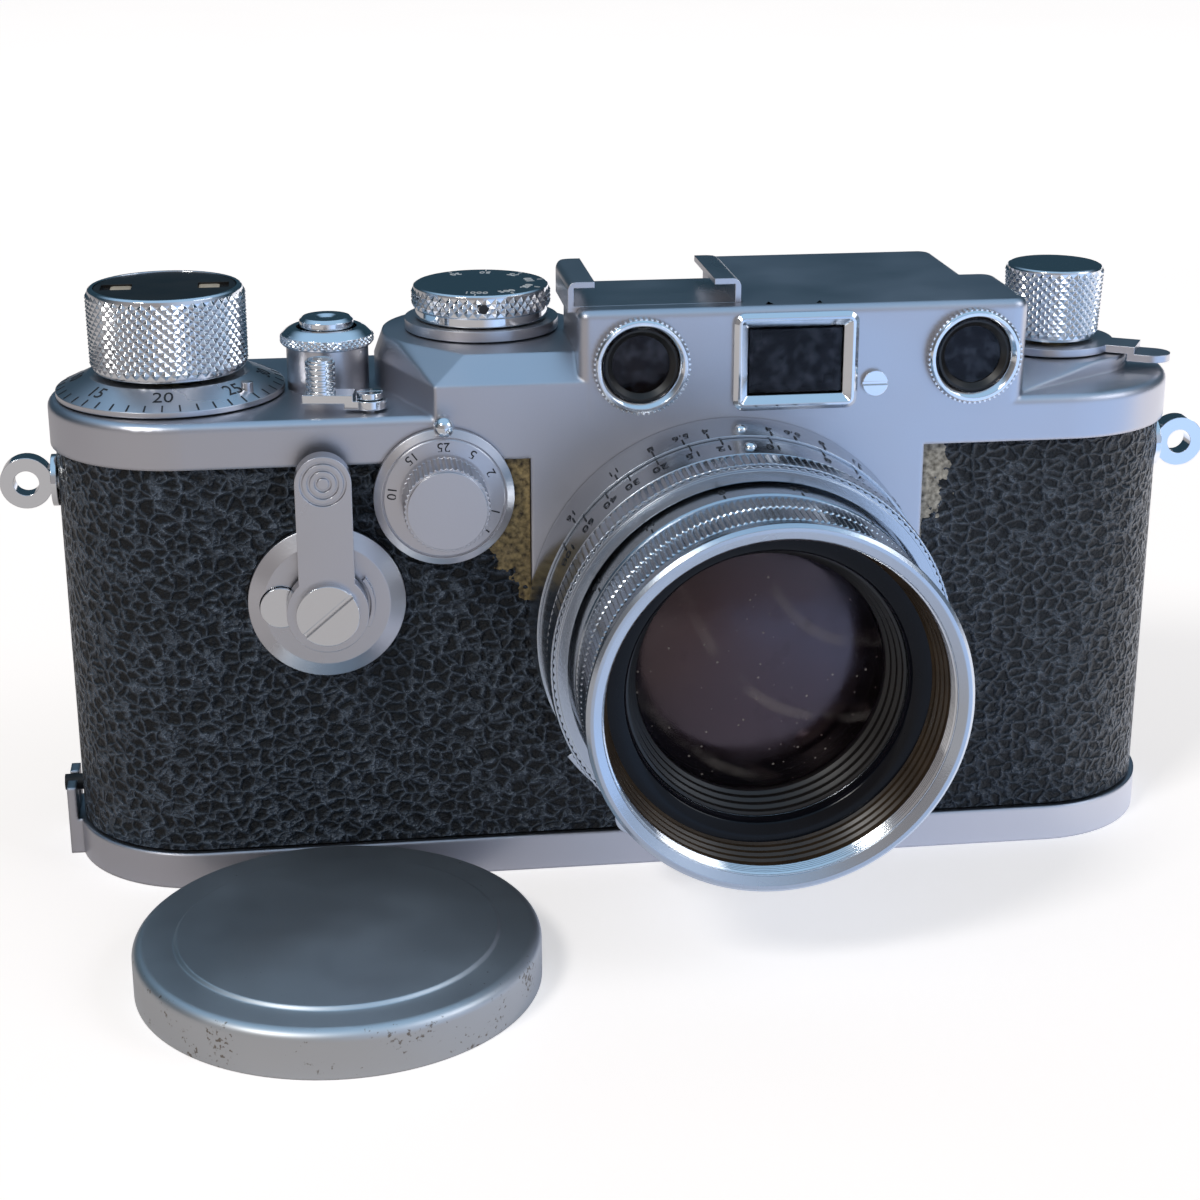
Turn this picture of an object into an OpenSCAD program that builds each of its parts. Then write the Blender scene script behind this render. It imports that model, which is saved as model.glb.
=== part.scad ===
// Rangefinder camera with a collapsible lens, and its lens cap lying in front.
// Millimetres. The origin is the middle of the base's underside, +Z is up,
// and the lens looks along -Y. Depths called "f" are measured forwards, along -Y.

/* [Body] */
// Length over the metal covers
body_len = 136; // [130:1:142]
// Depth over the metal covers
body_depth = 32; // [31:0.5:34]
// Thickness of the pebbled covering
leather_t = 0.6; // [0.4:0.1:0.8]
// How far the metal covers stand proud of the covering
cover_step = 0.6; // [0.5:0.1:0.9]
// Wall of the body shell
shell_t = 1.2; // [1:0.1:1.4]
// Height at which the covering ends and the top cover starts
band_z = 52.2; // [51.8:0.1:52.6]
// Height of the top cover's shoulders
shoulder_z = 57.5; // [57.3:0.1:58]
// Wall of the top cover
cover_t = 1.1; // [0.9:0.1:1.2]
// Rounding of the top cover's edge
cover_edge = 1; // [0.6:0.1:1.2]

/* [Base plate] */
// Height of the base plate's rim
base_h = 4.5; // [4:0.1:5]
// Floor of the base plate
base_floor = 1.3; // [1.2:0.1:1.6]
// Wall of the base plate
base_wall = 1; // [0.8:0.05:1]
// Height of the stud that the base plate hooks on
stud_z = 7.9; // [7.7:0.1:8.6]
// Radius of that stud
stud_r = 1; // [0.8:0.05:1.1]
// Width of the hooked ear
ear_w = 8; // [7:0.5:9]
// Thickness of the hooked ear
ear_t = 1.1; // [0.9:0.1:1.3]
// Distance of the lock key from the right end
key_inset = 13.5; // [13:0.5:16]
// Radius of the lock key's hub
key_r = 8.8; // [8:0.1:9.5]
// Thickness of the folding key's ring
bail_t = 1.1; // [0.8:0.1:1.2]
// Distance of the tripod bush from the left end
tripod_inset = 14; // [12:0.5:18]
// Radius of the tripod thread
tripod_r = 3.175; // [3.175:0.005:4.7625]
// Depth of the tripod thread
tripod_depth = 5.5; // [5:0.1:6]

/* [Finder housing] */
// Left end of the finder housing
housing_x0 = -6.9; // [-7:0.1:-5]
// Distance from the right rangefinder window to the housing's right end
housing_end = 6.75; // [6.2:0.05:6.95]
// Top of the finder housing
housing_z = 69.1; // [68.5:0.1:70]
// Back edge of the housing's front part
strip_y = 0; // [-1:0.1:1.5]
// Left end of the eyepiece block behind it
block_x0 = 12.6; // [12.4:0.1:14]
// How far the eyepiece block stops short of the housing's right end
block_inset = 3.8; // [3.6:0.1:4.4]
// Back face of the eyepiece block
block_y = 15.2; // [14.5:0.1:15.5]
// Rounding of the housing's top edge
housing_edge = 1; // [0.5:0.1:1.2]
// Distance between the two rangefinder windows
finder_base = 39; // [38:0.5:40]
// Place of the left rangefinder window
window_x = 0.25; // [0:0.05:1]
// Height of the windows
window_z = 62.8; // [62.6:0.1:63]
// Radius of a rangefinder window's ring
window_r = 5.6; // [5.2:0.1:5.8]
// Radius of the clear opening in that ring
window_hole_r = 4.2; // [3.8:0.1:4.3]
// How far the window rings stand out
window_proud = 1.5; // [1:0.1:2]
// Place of the viewfinder window
finder_x = 18.2; // [17.8:0.1:18.6]
// Width of the viewfinder's frame
finder_w = 14.6; // [14:0.1:15]
// Height of the viewfinder's frame
finder_h = 11.4; // [10.5:0.1:11.6]
// Width of the viewfinder's opening
finder_open_w = 11.2; // [10.5:0.1:11.6]
// Height of the viewfinder's opening
finder_open_h = 7.8; // [7:0.1:8.2]
// Place of the first eyepiece
eyepiece_x = 20; // [19:0.5:22]
// Distance between the two eyepieces
eyepiece_gap = 8; // [8:0.1:9]
// Radius of an eyepiece ring
eyepiece_r = 3.6; // [3.2:0.1:3.8]
// Place of the flash socket on the back
socket_x = 36; // [35.5:0.5:37]
// Width of the slot of the accessory shoe
shoe_w = 18.7; // [18.6:0.05:19]
// Height of the slot of the accessory shoe
shoe_slot = 2.1; // [2:0.05:2.3]
// Sheet thickness of the accessory shoe
shoe_t = 0.7; // [0.6:0.05:0.8]
// Length of the accessory shoe
shoe_len = 14; // [13:0.5:14]

/* [Top controls] */
// Distance of the wind knob's axis from the left end
wind_inset = 14.4; // [14:0.1:14.8]
// Distance from the wind knob's axis to the speed dial's
train_len = 37.1; // [36.8:0.1:37.2]
// Radius of the wind knob
wind_r = 9.3; // [8.8:0.1:9.6]
// Top of the wind knob
wind_z = 70.2; // [69.5:0.1:71]
// Radius of the wind shaft
wind_shaft_r = 3; // [2.5:0.1:3.2]
// Radius of the release's collar
collar_r = 4.85; // [4.6:0.05:5]
// Top of the release's collar
collar_z = 62.7; // [61.8:0.1:63.2]
// Radius of the guard ring
guard_r = 5.6; // [5.3:0.1:5.8]
// Radius of the release button
button_r = 3.2; // [2.9:0.05:3.3]
// Top of the release button
button_z = 66; // [65.8:0.1:66.6]
// Radius of the release rod
rod_r = 1.5; // [1.2:0.05:1.6]
// Travel of the release button
release_travel = 1.2; // [0.8:0.1:1.2]
// Place of the speed dial along the camera
speed_x = -16.5; // [-16.8:0.1:-16.4]
// Place of the speed dial across the camera
speed_y = 2; // [1:0.1:2.5]
// Radius of the speed dial
speed_r = 8.4; // [7.8:0.1:8.4]
// Top of the speed dial
speed_z = 69.1; // [68.8:0.1:70]
// Radius of the flash ring under the speed dial
sync_r = 9.2; // [8.8:0.1:9.2]
// Height of the plinth under the speed dial
plinth_z = 63.7; // [63.3:0.1:63.9]
// Distance from the housing's right end to the rewind knob's axis
rewind_out = 8.5; // [8.2:0.1:9]
// Place of the rewind knob across the camera
rewind_y = 2; // [1:0.1:2.5]
// Radius of the rewind knob at its top
rewind_r = 6.1; // [5.6:0.1:6.3]
// Top of the rewind knob
rewind_z = 69.6; // [69:0.1:71]
// Radius of the rewind shaft
rewind_shaft_r = 2.4; // [2:0.1:2.6]
// Radius of the boss under the rewind knob
boss_r = 9.4; // [9:0.1:9.6]
// Height of the boss under the rewind knob
boss_z = 59.3; // [59:0.1:59.5]
// Length of the eyesight lever, from the knob's axis
sight_len = 12.6; // [11.5:0.1:13]
// Distance of the rewind lever's pivot from the release, along the camera
clutch_out = 4.5; // [4.2:0.1:4.8]
// Place of the rewind lever's pivot across the camera
clutch_y = -11.6; // [-12:0.1:-11.4]
// Length of the rewind lever, pivot to thumb post
clutch_len = 5.6; // [5.2:0.1:6]

/* [Front controls] */
// Place of the self-timer along the camera
timer_x = -36.4; // [-36.8:0.1:-36]
// Height of the self-timer's axis
timer_z = 35.9; // [35:0.1:36.5]
// Radius of the self-timer's plate
timer_r = 9.1; // [8.6:0.1:9.4]
// Radius of the self-timer lever's hub
timer_hub_r = 4.7; // [4.4:0.1:5]
// Half width of the self-timer lever
timer_arm_r = 3.2; // [2.8:0.1:3.4]
// Length of the self-timer lever
timer_len = 15.4; // [14.5:0.1:15.8]
// Radius of the self-timer's start button
start_r = 2.4; // [2:0.1:2.5]
// Distance of the start button from the self-timer's axis
start_dx = 5.3; // [5:0.1:5.6]
// Place of the slow-speed dial along the camera
slow_x = -22.6; // [-22.8:0.1:-22.4]
// Height of the slow-speed dial's axis
slow_z = 48.2; // [48:0.1:48.3]
// Radius of the slow-speed dial
slow_r = 8.1; // [7.8:0.1:8.1]
// Radius of the slow-speed dial's knob
slow_knob_r = 4.95; // [4.5:0.05:5.2]
// Height of the strap lugs
lug_z = 47.1; // [46:0.1:48.2]
// Radius of a strap lug's eye
lug_r = 3.1; // [2.8:0.1:3.3]
// Radius of the hole in a strap lug
lug_hole_r = 1.5; // [1.3:0.05:1.7]

/* [Lens] */
// Place of the lens axis along the camera
lens_x = 10.7; // [10.5:0.1:10.9]
// Height of the lens axis
lens_z = 32.6; // [32.3:0.1:32.8]
// Half width of the apron that the lens is mounted on
apron_r = 23.2; // [22.8:0.1:23.4]
// Radius of the mount's screw thread
mount_r = 19.5; // [19.4:0.05:19.6]
// Radius of the lens flange
flange_r = 23.7; // [23.5:0.1:24.2]
// Depth of the depth-of-field ring
field_h = 6.9; // [6.5:0.1:7.2]
// Depth of the focusing ring
focus_h = 10.4; // [10:0.1:10.8]
// Radius of the collapsing tube
tube_r = 16.65; // [16.4:0.05:16.8]
// Radius of the aperture scale
scale_r = 20; // [19.6:0.1:20.3]
// Radius over the aperture ring's scallops
aperture_r = 20.7; // [20.5:0.1:20.9]
// Radius of the front rim
rim_r = 21; // [20.9:0.1:21.3]
// Distance of the front rim ahead of the origin
rim_f = 49; // [48.8:0.1:49.5]
// Radius of the filter thread
filter_r = 19.25; // [19:0.05:19.3]
// Radius of the front glass
front_glass_r = 14; // [13.5:0.1:14.2]
// How far the tube pulls out
collapse_travel = 14; // [12:0.5:14]
// Where the focusing tab sits round the lens at infinity
tab_angle = 240; // [232:1:244]

/* [Lens cap] */
// Place of the cap along the camera
cap_x = -36.9; // [-38:0.1:-36.9]
// Place of the cap in front of the camera
cap_y = -39.5; // [-42:0.1:-39.3]
// Radius of the cap
cap_r = 22.6; // [22.2:0.1:22.8]
// Height of the cap
cap_h = 5.8; // [5.5:0.1:6.5]
// Wall of the cap
cap_t = 0.9; // [0.7:0.1:1]
// Radius of the step on the cap's top
cap_step_r = 17.7; // [16:0.1:19]

/* [Inside] */
// Height of the deck that carries the shafts
deck_z = 50.6; // [50.6:0.1:50.8]
// Thickness of the deck
deck_t = 1.2; // [1:0.1:1.2]
// Right end of the shutter crate
crate_x1 = 40; // [39:0.1:41]
// Width of the picture
picture_w = 36; // [36:0.1:36.2]
// Height of the picture
picture_h = 24; // [24:0.1:24.2]
// Largest radius of the take-up spool's flanges
spool_max_r = 10.2; // [9.5:0.1:10.4]
// Radius of the sprocket drum
sprocket_r = 6; // [5.6:0.1:6]
// Radius of the shutter drum
drum_r = 6.3; // [6:0.1:6.3]
// Radius of the curtain's spring roller
roller_r = 3.2; // [2.8:0.1:3.4]
// Teeth on each gear of the wind train
gear_teeth = 24; // [20:1:24]

/* [Clearances] */
// Gap between pieces that move past each other
run_gap = 0.3; // [0.25:0.01:0.35]
// Gap round a shaft in its bore
fit_gap = 0.08; // [0.05:0.01:0.1]
// Gap between pieces that are fitted together
seat_gap = 0.1; // [0.08:0.01:0.12]

/* [Hidden] */
$fn = 96;
eps = 0.01;

satin = [0.76, 0.78, 0.82];
polished = [0.86, 0.87, 0.89];
dark_metal = [0.3, 0.31, 0.33];
black = [0.06, 0.06, 0.07];
glass = [0.5, 0.62, 0.72, 0.5];
brass = [0.76, 0.6, 0.3];
cloth = [0.1, 0.1, 0.11];

half_depth = body_depth / 2;
skin = leather_t + cover_step;
shell_len = body_len - 2 * skin;
shell_depth = body_depth - 2 * skin;
shell_f = shell_depth / 2;
leather_len = shell_len + 2 * leather_t;
leather_depth = shell_depth + 2 * leather_t;
shell_z0 = base_floor + run_gap;
shell_z1 = shoulder_z - cover_t - seat_gap;
leather_z0 = base_h + run_gap;
inner_len = shell_len - 2 * shell_t;
inner_depth = shell_depth - 2 * shell_t;
end_x = body_len / 2;
key_x = end_x - key_inset;
tripod_x = tripod_inset - end_x;
wind_x = max(wind_inset - end_x, speed_x - train_len);
release_x = (wind_x + speed_x) / 2;
wind_gap = release_x - wind_x;
clutch_x = release_x + clutch_out;
drum_dx = speed_x - release_x;
drum_dist = sqrt(drum_dx * drum_dx + speed_y * speed_y);
housing_x1 = window_x + finder_base + housing_end;
block_x1 = housing_x1 - block_inset;
rewind_x = housing_x1 + rewind_out;

finder_t = 1.2;
strip_corner = 1.2;
curve_r = 2;
window_xs = [window_x, window_x + finder_base];
window_thread_r = window_hole_r + 0.5;
window_pitch = 0.65;
window_dip = 0.22;
finder_z = window_z;
eyepiece_xs = [eyepiece_x, eyepiece_x + eyepiece_gap];
eyepiece_hole_r = 2.2;
eyepiece_thread_r = eyepiece_hole_r + 0.6;
socket_r = 2.6;
socket_hole_r = 1.2;
shoe_x0 = speed_x + speed_r + run_gap;
shoe_x1 = shoe_x0 + 2 * shoe_t + shoe_w;
shoe_lip = 2.4;
shoe_bend = 1;
shoe_corner = 2;
shoe_y0 = strip_y + 1 - shoe_len;
screw_xz = [27.6, 59.9];
screw_r = 1.5;
screw_head = 0.7;

knob_gap = 0.4;
counter_r = wind_gap - collar_r - run_gap;
counter_z = shoulder_z + 0.2;
counter_edge = 0.6;
counter_t = 2.4;
counter_top_r = wind_r + 0.3;
wind_z0 = counter_z + counter_t + knob_gap;
wind_core_r = wind_r - 0.5;
disc_r = wind_r - 1.1;
disc_t = 0.9;
disc_recess = 1.1;
knurl_pitch = 1.1;
knurl_depth = 0.35;
guard_h = 2.1;
guard_rim_h = 1.3;
cap_flange_z = collar_z + 0.6;
spring_r = 2.3;
spring_wire = 0.25;
spring_turns = 3;
speed_bush_r = 3.8;
speed_rim_h = 2.7;
sync_t = 1.2;
sync_z = plinth_z + 0.2;
speed_z0 = sync_z + sync_t + 0.2;
spindle_r = 1.9;
speed_lift = 1.5;
plinth_r = drum_dist - guard_r - fit_gap;
plinth_wall_z = 60.9;
plinth_front_x = -23.4;
plinth_bevel = 3.8;
plinth_taper = 1.05;
ramp_r = 1.6;
ramp_y = -half_depth + 2.6;
rewind_bevel = 0.6;
sight_z = boss_z + 0.2;
sight_t = 0.9;
rewind_z0 = sight_z + sight_t + 0.3;
sight_r = 7.6;
sight_step = 0.9;
sight_arm = 2.2;
clutch_z = shoulder_z + 0.3;
clutch_t = 1;
clutch_step = 0.7;
clutch_pad_r = 2;
clutch_turn = 172;
post_r = 1.7;
post_h = 3.9;
post_ribs = 6;

timer_f0 = shell_f + 0.05;
timer_f1 = timer_f0 + 2.4;
timer_bevel = 0.9;
timer_cone = 1.8;
timer_stop = [5, 0.5, 0.7];
start_f = timer_f1 + 0.6;
timer_lever_f = start_f + run_gap;
timer_lever_t = 2.3;
timer_shaft_r = 1.5;
timer_screw_r = 3.6;
slow_f = half_depth + 0.15;
slow_t = 1.4;
slow_bevel = 0.6;
slow_line = 0.15;
slow_sink = 0.3;
slow_ring_r = slow_r - 0.9;
slow_knob_h = 5;
slow_shaft_r = 1.5;
slow_pin_r = 0.55;
slow_ball_r = 1.2;
slow_pin_z = slow_z + slow_r + slow_pin_r + 0.2;
slow_ball_f = slow_f + slow_t + slow_ball_r + run_gap;
lug_t = 2.4;
lug_stem_r = 1.5;
lug_x = end_x - cover_step + 0.1 + lug_r + 0.55;
lug_foot_t = 0.7;

mount_out_r = apron_r - 1.6;
mount_sleeve_t = 1;
mount_f = half_depth - 0.05;
mount_back_f = 9;
flange_f = half_depth + 0.05;
flange_lip = 1.1;
field_r = flange_r - 0.3;
field_f = flange_f + field_h;
collar_t = 1.2;
carrier_t = 1.35;
carrier_r = tube_r + fit_gap + carrier_t;
carrier_f0 = 7;
focus_f = field_f + 0.2;
focus_f1 = focus_f + focus_h;
focus_r = flange_r - 0.6;
focus_web_f = focus_f + 5.2;
focus_web_t = 3.8;
coin_h = 4.2;
coin_teeth = 140;
coin_depth = 0.28;
carrier_flange_r = scale_r + 0.5;
carrier_f1 = focus_web_f + run_gap + 1.7;
tube_f0 = 2.5;
scale_f0 = carrier_f1 + 0.6;
scale_f1 = scale_f0 + 5.2;
scale_web = 3.3;
nose_r = scale_r - 1.6;
nose_f = rim_f - 8.6;
aperture_f0 = scale_f1 + 1.2;
aperture_f1 = rim_f - 1.4;
aperture_body_r = aperture_r - 0.45;
scallops = 108;
scallop_dip = 0.4;
narrow_row = 3.6;
row_gap = 0.6;
rim_t = 1.2;
rim_skirt_t = 0.65;
rim_web_t = 1;
name_r = filter_r - 0.3;
name_f = nose_f + 0.15 + rim_web_t;
name_t = 0.9;
name_in = 1;
name_skirt = 2.2;
name_lip = 0.65;
filter_f = name_f + name_t + 0.2;
rear_glass_r = 11;
iris_blades_n = 10;
iris_r = 12.2;
tab_r = 2.3;
lock_r = 1.5;
tab_reach = focus_r + lock_r + 0.3;
tab_root_r = focus_r + 1.5;
tab_root_angle = 25;
lock_h = 2.6;

hub_flange_t = 0.9;
hub_flange_w = 1.2;
key_recess_r = key_r - 1;
key_recess_h = bail_t + 0.5;
bail_r = key_recess_r - 0.4;
bail_w = 1.6;
bail_pin_r = 0.4;
latch_len = 12;
latch_w = 5;
latch_t = 1;
bush_r = tripod_r + 2.2;
bush_flange = 1.4;
slot_w = 2 * stud_r + 0.8;
ear_top = stud_z + 0.8;
slot_z = stud_z - 2.6;
stud_x = end_x + 0.5;

gear_z = deck_z + deck_t + 0.4;
gear_h = 2;
gear_gap = wind_gap / 2;
drum_gear_r = drum_dist - gear_gap;
mesh_dir = atan2(speed_y, drum_dx);
gear_pitch = 360 / gear_teeth;
tooth_rise = 0.55;
tooth_dip = 0.85;
tooth_reach = 0.8;
spool_z0 = 8.5;
spool_z1 = 45;
spool_core_r = wind_shaft_r + 3;
spool_r = min(spool_max_r, wind_gap - sprocket_r - tooth_reach - 1.4);
spool_flange = 1.2;
sprocket_z0 = 9;
sprocket_z1 = 45;
sprocket_shaft_r = 2.9;
sprocket_teeth = 8;
tooth_w = 1.4;
drum_z0 = 8;
drum_z1 = 49.5;
crate_x0 = release_x + sprocket_r + tooth_reach + 0.75;
roller_x = crate_x1 - 1.2 - roller_r - 0.8;
roller_y = 4;
crate_t = 1.2;
crate_z0 = 5.2;
crate_f = shell_depth / 2 - shell_t - 0.2;
gate_y = crate_f - 2.5;
gate_t = 1.1;
curtain_t = 0.3;
curtain_clear = 0.5;
curtain_h = 2 * (deck_z - lens_z - curtain_clear);
curtain_slit = 0.4;
plate_t = 0.6;
plate_z1 = 49.8;
plate_z0 = 15.4;
fork_z = 38;
fork_w = 1.6;
rewind_shaft_z0 = 44;
arm_len = 16;
arm_z0 = 49.4;
arm_t = 0.9;
arm_w = 3;
arm_roller_r = 2;
arm_pin_r = 1;
arm_x = lens_x + arm_len;
arm_y = -(carrier_f0 - arm_roller_r - 0.2);
prism_w = 7;

cap_edge = 1.2;
cap_step = 0.35;

// Outline helpers

module stadium(len, depth) {
    square([len - depth, depth], center = true);
    for (side = [-1, 1]) {
        translate([side * (len - depth) / 2, 0]) circle(d = depth);
    }
}

module rounded_half(r, h, edge) {
    square([r - edge, h]);
    square([r, h - edge]);
    translate([r - edge, h - edge]) circle(r = edge);
}

// A slab with round ends whose top edge is rounded all the way round
module soft_stadium(len, depth, h, edge) {
    run = len - depth;
    translate([-run / 2, 0, 0])
        rotate([90, 0, 90])
            linear_extrude(run) {
                rounded_half(depth / 2, h, edge);
                mirror([1, 0]) rounded_half(depth / 2, h, edge);
            }
    for (side = [-1, 1]) {
        translate([side * run / 2, 0, 0])
            rotate([0, 0, -90 * side])
                rotate_extrude(angle = 180) rounded_half(depth / 2, h, edge);
    }
}

// A post with a rounded top edge, for the corners of the housing
module soft_post(r, h, edge) {
    rotate_extrude($fn = 32) {
        square([r - edge, h]);
        square([r, h - edge]);
        translate([r - edge, h - edge])
            intersection() {
                circle(r = edge, $fn = 24);
                square(edge);
            }
    }
}

function star(n, r, dip) = [
    for (i = [0 : 2 * n - 1])
        let (a = i * 180 / n, q = r - dip * (i % 2))
            [q * cos(a), q * sin(a)]
];

// A cylinder with straight serrations, as many as its pitch allows
module serrated(r, h, pitch = knurl_pitch, dip = knurl_depth) {
    linear_extrude(h) polygon(star(round(2 * PI * r / pitch), r, dip));
}

module tube(r, hole, h) {
    difference() {
        cylinder(r = r, h = h);
        translate([0, 0, -eps]) cylinder(r = hole, h = h + 2 * eps);
    }
}

// Puts a shape on the front: its own z becomes the depth f
module front(x, z) {
    translate([x, 0, z]) rotate([90, 0, 0]) children();
}

module on_lens() {
    front(lens_x, lens_z) children();
}

module ring_between(r0, r1, f0, f1) {
    translate([0, 0, f0]) tube(r1, r0, f1 - f0);
}

module gear(r, phase) {
    function flank(i, turn, q) = [
        q * cos(phase + i * gear_pitch + turn * gear_pitch),
        q * sin(phase + i * gear_pitch + turn * gear_pitch)
    ];
    root = r - tooth_dip;
    tip = r + tooth_rise;
    linear_extrude(gear_h)
        polygon([
            for (i = [0 : gear_teeth - 1])
                each [
                    flank(i, -0.28, root), flank(i, -0.1, tip),
                    flank(i, 0.1, tip), flank(i, 0.28, root)
                ]
        ]);
}

// Body

module body_shell() {
    color(dark_metal)
    difference() {
        union() {
            translate([0, 0, shell_z0])
                linear_extrude(shell_z1 - shell_z0) {
                    difference() {
                        stadium(shell_len, shell_depth);
                        stadium(inner_len, inner_depth);
                    }
                }
            translate([-stud_x - ear_t, 0, stud_z])
                rotate([0, 90, 0]) cylinder(r = stud_r, h = ear_t + skin + 1);
        }
        on_lens() cylinder(r = mount_r + mount_sleeve_t + seat_gap, h = half_depth);
        front(timer_x, timer_z) {
            cylinder(r = timer_shaft_r + run_gap, h = half_depth);
            translate([-start_dx, 0, 0]) cylinder(r = start_r + run_gap, h = half_depth);
        }
        front(slow_x, slow_z) cylinder(r = slow_shaft_r + run_gap, h = half_depth);
        lug_holes();
    }
}

module lug_holes() {
    for (side = [-1, 1]) {
        translate([side * end_x, 0, lug_z])
            rotate([0, -90 * side, 0])
                cylinder(r = lug_stem_r + seat_gap, h = skin + shell_t + 1);
    }
}

module leather_cover() {
    color(black)
    difference() {
        translate([0, 0, leather_z0])
            linear_extrude(band_z - seat_gap - leather_z0) {
                difference() {
                    stadium(leather_len, leather_depth);
                    stadium(shell_len, shell_depth);
                }
            }
        apron_outline(seat_gap);
        front(timer_x, timer_z) cylinder(r = timer_r + seat_gap, h = half_depth);
        front(slow_x, slow_z) cylinder(r = slow_shaft_r + run_gap, h = half_depth);
        translate([-end_x, 0, stud_z])
            rotate([0, 90, 0]) cylinder(r = stud_r + seat_gap, h = skin + 1);
        lug_holes();
    }
}

// The apron's outline, straight above the lens axis and round below it
module apron_outline(grow) {
    on_lens() {
        cylinder(r = apron_r + grow, h = half_depth);
        translate([-apron_r - grow, 0, 0])
            cube([2 * (apron_r + grow), shoulder_z - lens_z - cover_edge, half_depth]);
    }
}

module housing_shape() {
    low = shoulder_z - cover_t;
    h = housing_z - low;
    front_y = -half_depth;
    translate([0, 0, low]) {
        hull() {
            for (p = [
                [housing_x0 + strip_corner, front_y + strip_corner, strip_corner],
                [housing_x1 - curve_r, front_y + curve_r, curve_r],
                [housing_x1 - curve_r, strip_y - curve_r, curve_r],
                [housing_x0 + strip_corner, strip_y - strip_corner, strip_corner]
            ]) {
                translate([p[0], p[1], 0]) soft_post(p[2], h, housing_edge);
            }
        }
        hull() {
            for (p = [
                [block_x0 + strip_corner, block_y - strip_corner, strip_corner],
                [block_x1 - curve_r, block_y - curve_r, curve_r],
                [block_x1 - curve_r, strip_y - 2 * curve_r, curve_r],
                [block_x0 + strip_corner, strip_y - 2 * curve_r, strip_corner]
            ]) {
                translate([p[0], p[1], 0]) soft_post(p[2], h, housing_edge);
            }
        }
        // the hollow curve between the two, round the rewind knob
        hollow_r = housing_x1 - curve_r - block_x1;
        linear_extrude(h - housing_edge)
            difference() {
                translate([block_x1 - 1, strip_y - 1]) square(hollow_r + 1);
                translate([block_x1 + hollow_r, strip_y + hollow_r]) circle(r = hollow_r);
            }
    }
}

module housing_hollow() {
    top = housing_z - finder_t;
    low = shoulder_z - 2 * cover_t;
    translate([housing_x0 + finder_t, -half_depth + finder_t, low])
        cube([
            housing_x1 - housing_x0 - 2 * finder_t,
            strip_y + half_depth - 2 * finder_t,
            top - low
        ]);
    translate([block_x0 + finder_t, strip_y - 2 * finder_t, low])
        cube([
            block_x1 - block_x0 - 2 * finder_t,
            block_y - strip_y + finder_t,
            top - low
        ]);
}

module plinth_shape() {
    low = shoulder_z - cover_t;
    hull() {
        translate([0, 0, low])
            linear_extrude(plinth_wall_z - low) {
                translate([speed_x, speed_y]) circle(r = plinth_r, $fn = 64);
                translate([plinth_front_x, -half_depth])
                    square([housing_x0 + 1 - plinth_front_x, half_depth]);
            }
        translate([0, 0, plinth_wall_z])
            linear_extrude(plinth_z - plinth_wall_z) {
                translate([speed_x, speed_y]) circle(r = plinth_r - plinth_taper, $fn = 64);
                translate([plinth_front_x + plinth_bevel, plinth_bevel - half_depth])
                    square([housing_x0 + 1 - plinth_front_x - plinth_bevel, half_depth / 2]);
            }
    }
}

// The boss under the rewind knob, and the ramp up to it from the housing's front corner
module rewind_ramp() {
    low = shoulder_z - cover_t;
    hull() {
        translate([rewind_x, rewind_y, low]) cylinder(r = boss_r, h = boss_z - low);
        translate([housing_x1 - ramp_r, ramp_y, low]) cylinder(r = ramp_r, h = shoulder_z - low + eps);
    }
}

module top_cover() {
    color(satin)
    difference() {
        union() {
            translate([0, 0, band_z])
                soft_stadium(body_len, body_depth, shoulder_z - band_z, cover_edge);
            housing_shape();
            plinth_shape();
            rewind_ramp();
            apron_outline(0);
        }
        translate([0, 0, band_z - eps])
            linear_extrude(shoulder_z - cover_t - band_z + eps)
                stadium(shell_len + 2 * seat_gap, shell_depth + 2 * seat_gap);
        // clears the apron's inside, which lies on the shell
        translate([-end_x, -shell_f - seat_gap, 0])
            cube([body_len, shell_depth, band_z]);
        housing_hollow();
        translate([speed_x, speed_y, band_z])
            cylinder(r = spindle_r + 4, h = plinth_z - finder_t - band_z);
        on_lens() cylinder(r = mount_out_r + seat_gap, h = half_depth + 1);
        cover_bores();
        cover_windows();
        translate([shoe_x0 - seat_gap, shoe_y0 - seat_gap, housing_z - shoe_t])
            cube([shoe_x1 - shoe_x0 + 2 * seat_gap, shoe_len + 2 * seat_gap, 2 * shoe_t]);
    }
}

module cover_bores() {
    h = housing_z - band_z;
    translate([wind_x, 0, band_z]) cylinder(r = wind_shaft_r + fit_gap, h = h);
    translate([release_x, 0, band_z]) cylinder(r = rod_r + fit_gap, h = h);
    translate([speed_x, speed_y, band_z]) cylinder(r = spindle_r + fit_gap, h = h);
    translate([rewind_x, rewind_y, band_z]) cylinder(r = rewind_shaft_r + fit_gap, h = h);
    translate([clutch_x, clutch_y, band_z]) cylinder(r = screw_r / 2 + seat_gap, h = h);
    front(slow_x, slow_pin_z) cylinder(r = slow_pin_r, h = half_depth + 1);
}

module cover_windows() {
    wall_f = half_depth - finder_t - 1;
    for (x = window_xs) {
        front(x, window_z)
            translate([0, 0, wall_f]) cylinder(r = window_thread_r + seat_gap, h = finder_t + 2);
    }
    front(finder_x, finder_z)
        translate([0, 0, wall_f])
            linear_extrude(finder_t + 2) square([finder_open_w + 1, finder_open_h + 1], center = true);
    front(screw_xz[0], screw_xz[1])
        translate([0, 0, wall_f]) cylinder(r = screw_r / 2 + seat_gap, h = finder_t + 2);
    for (x = eyepiece_xs) {
        front(x, window_z)
            translate([0, 0, -block_y - 1]) cylinder(r = eyepiece_thread_r + seat_gap, h = finder_t + 2);
    }
    front(socket_x, window_z)
        translate([0, 0, -block_y - 1]) cylinder(r = socket_r - 0.6, h = finder_t + 2);
}

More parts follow.
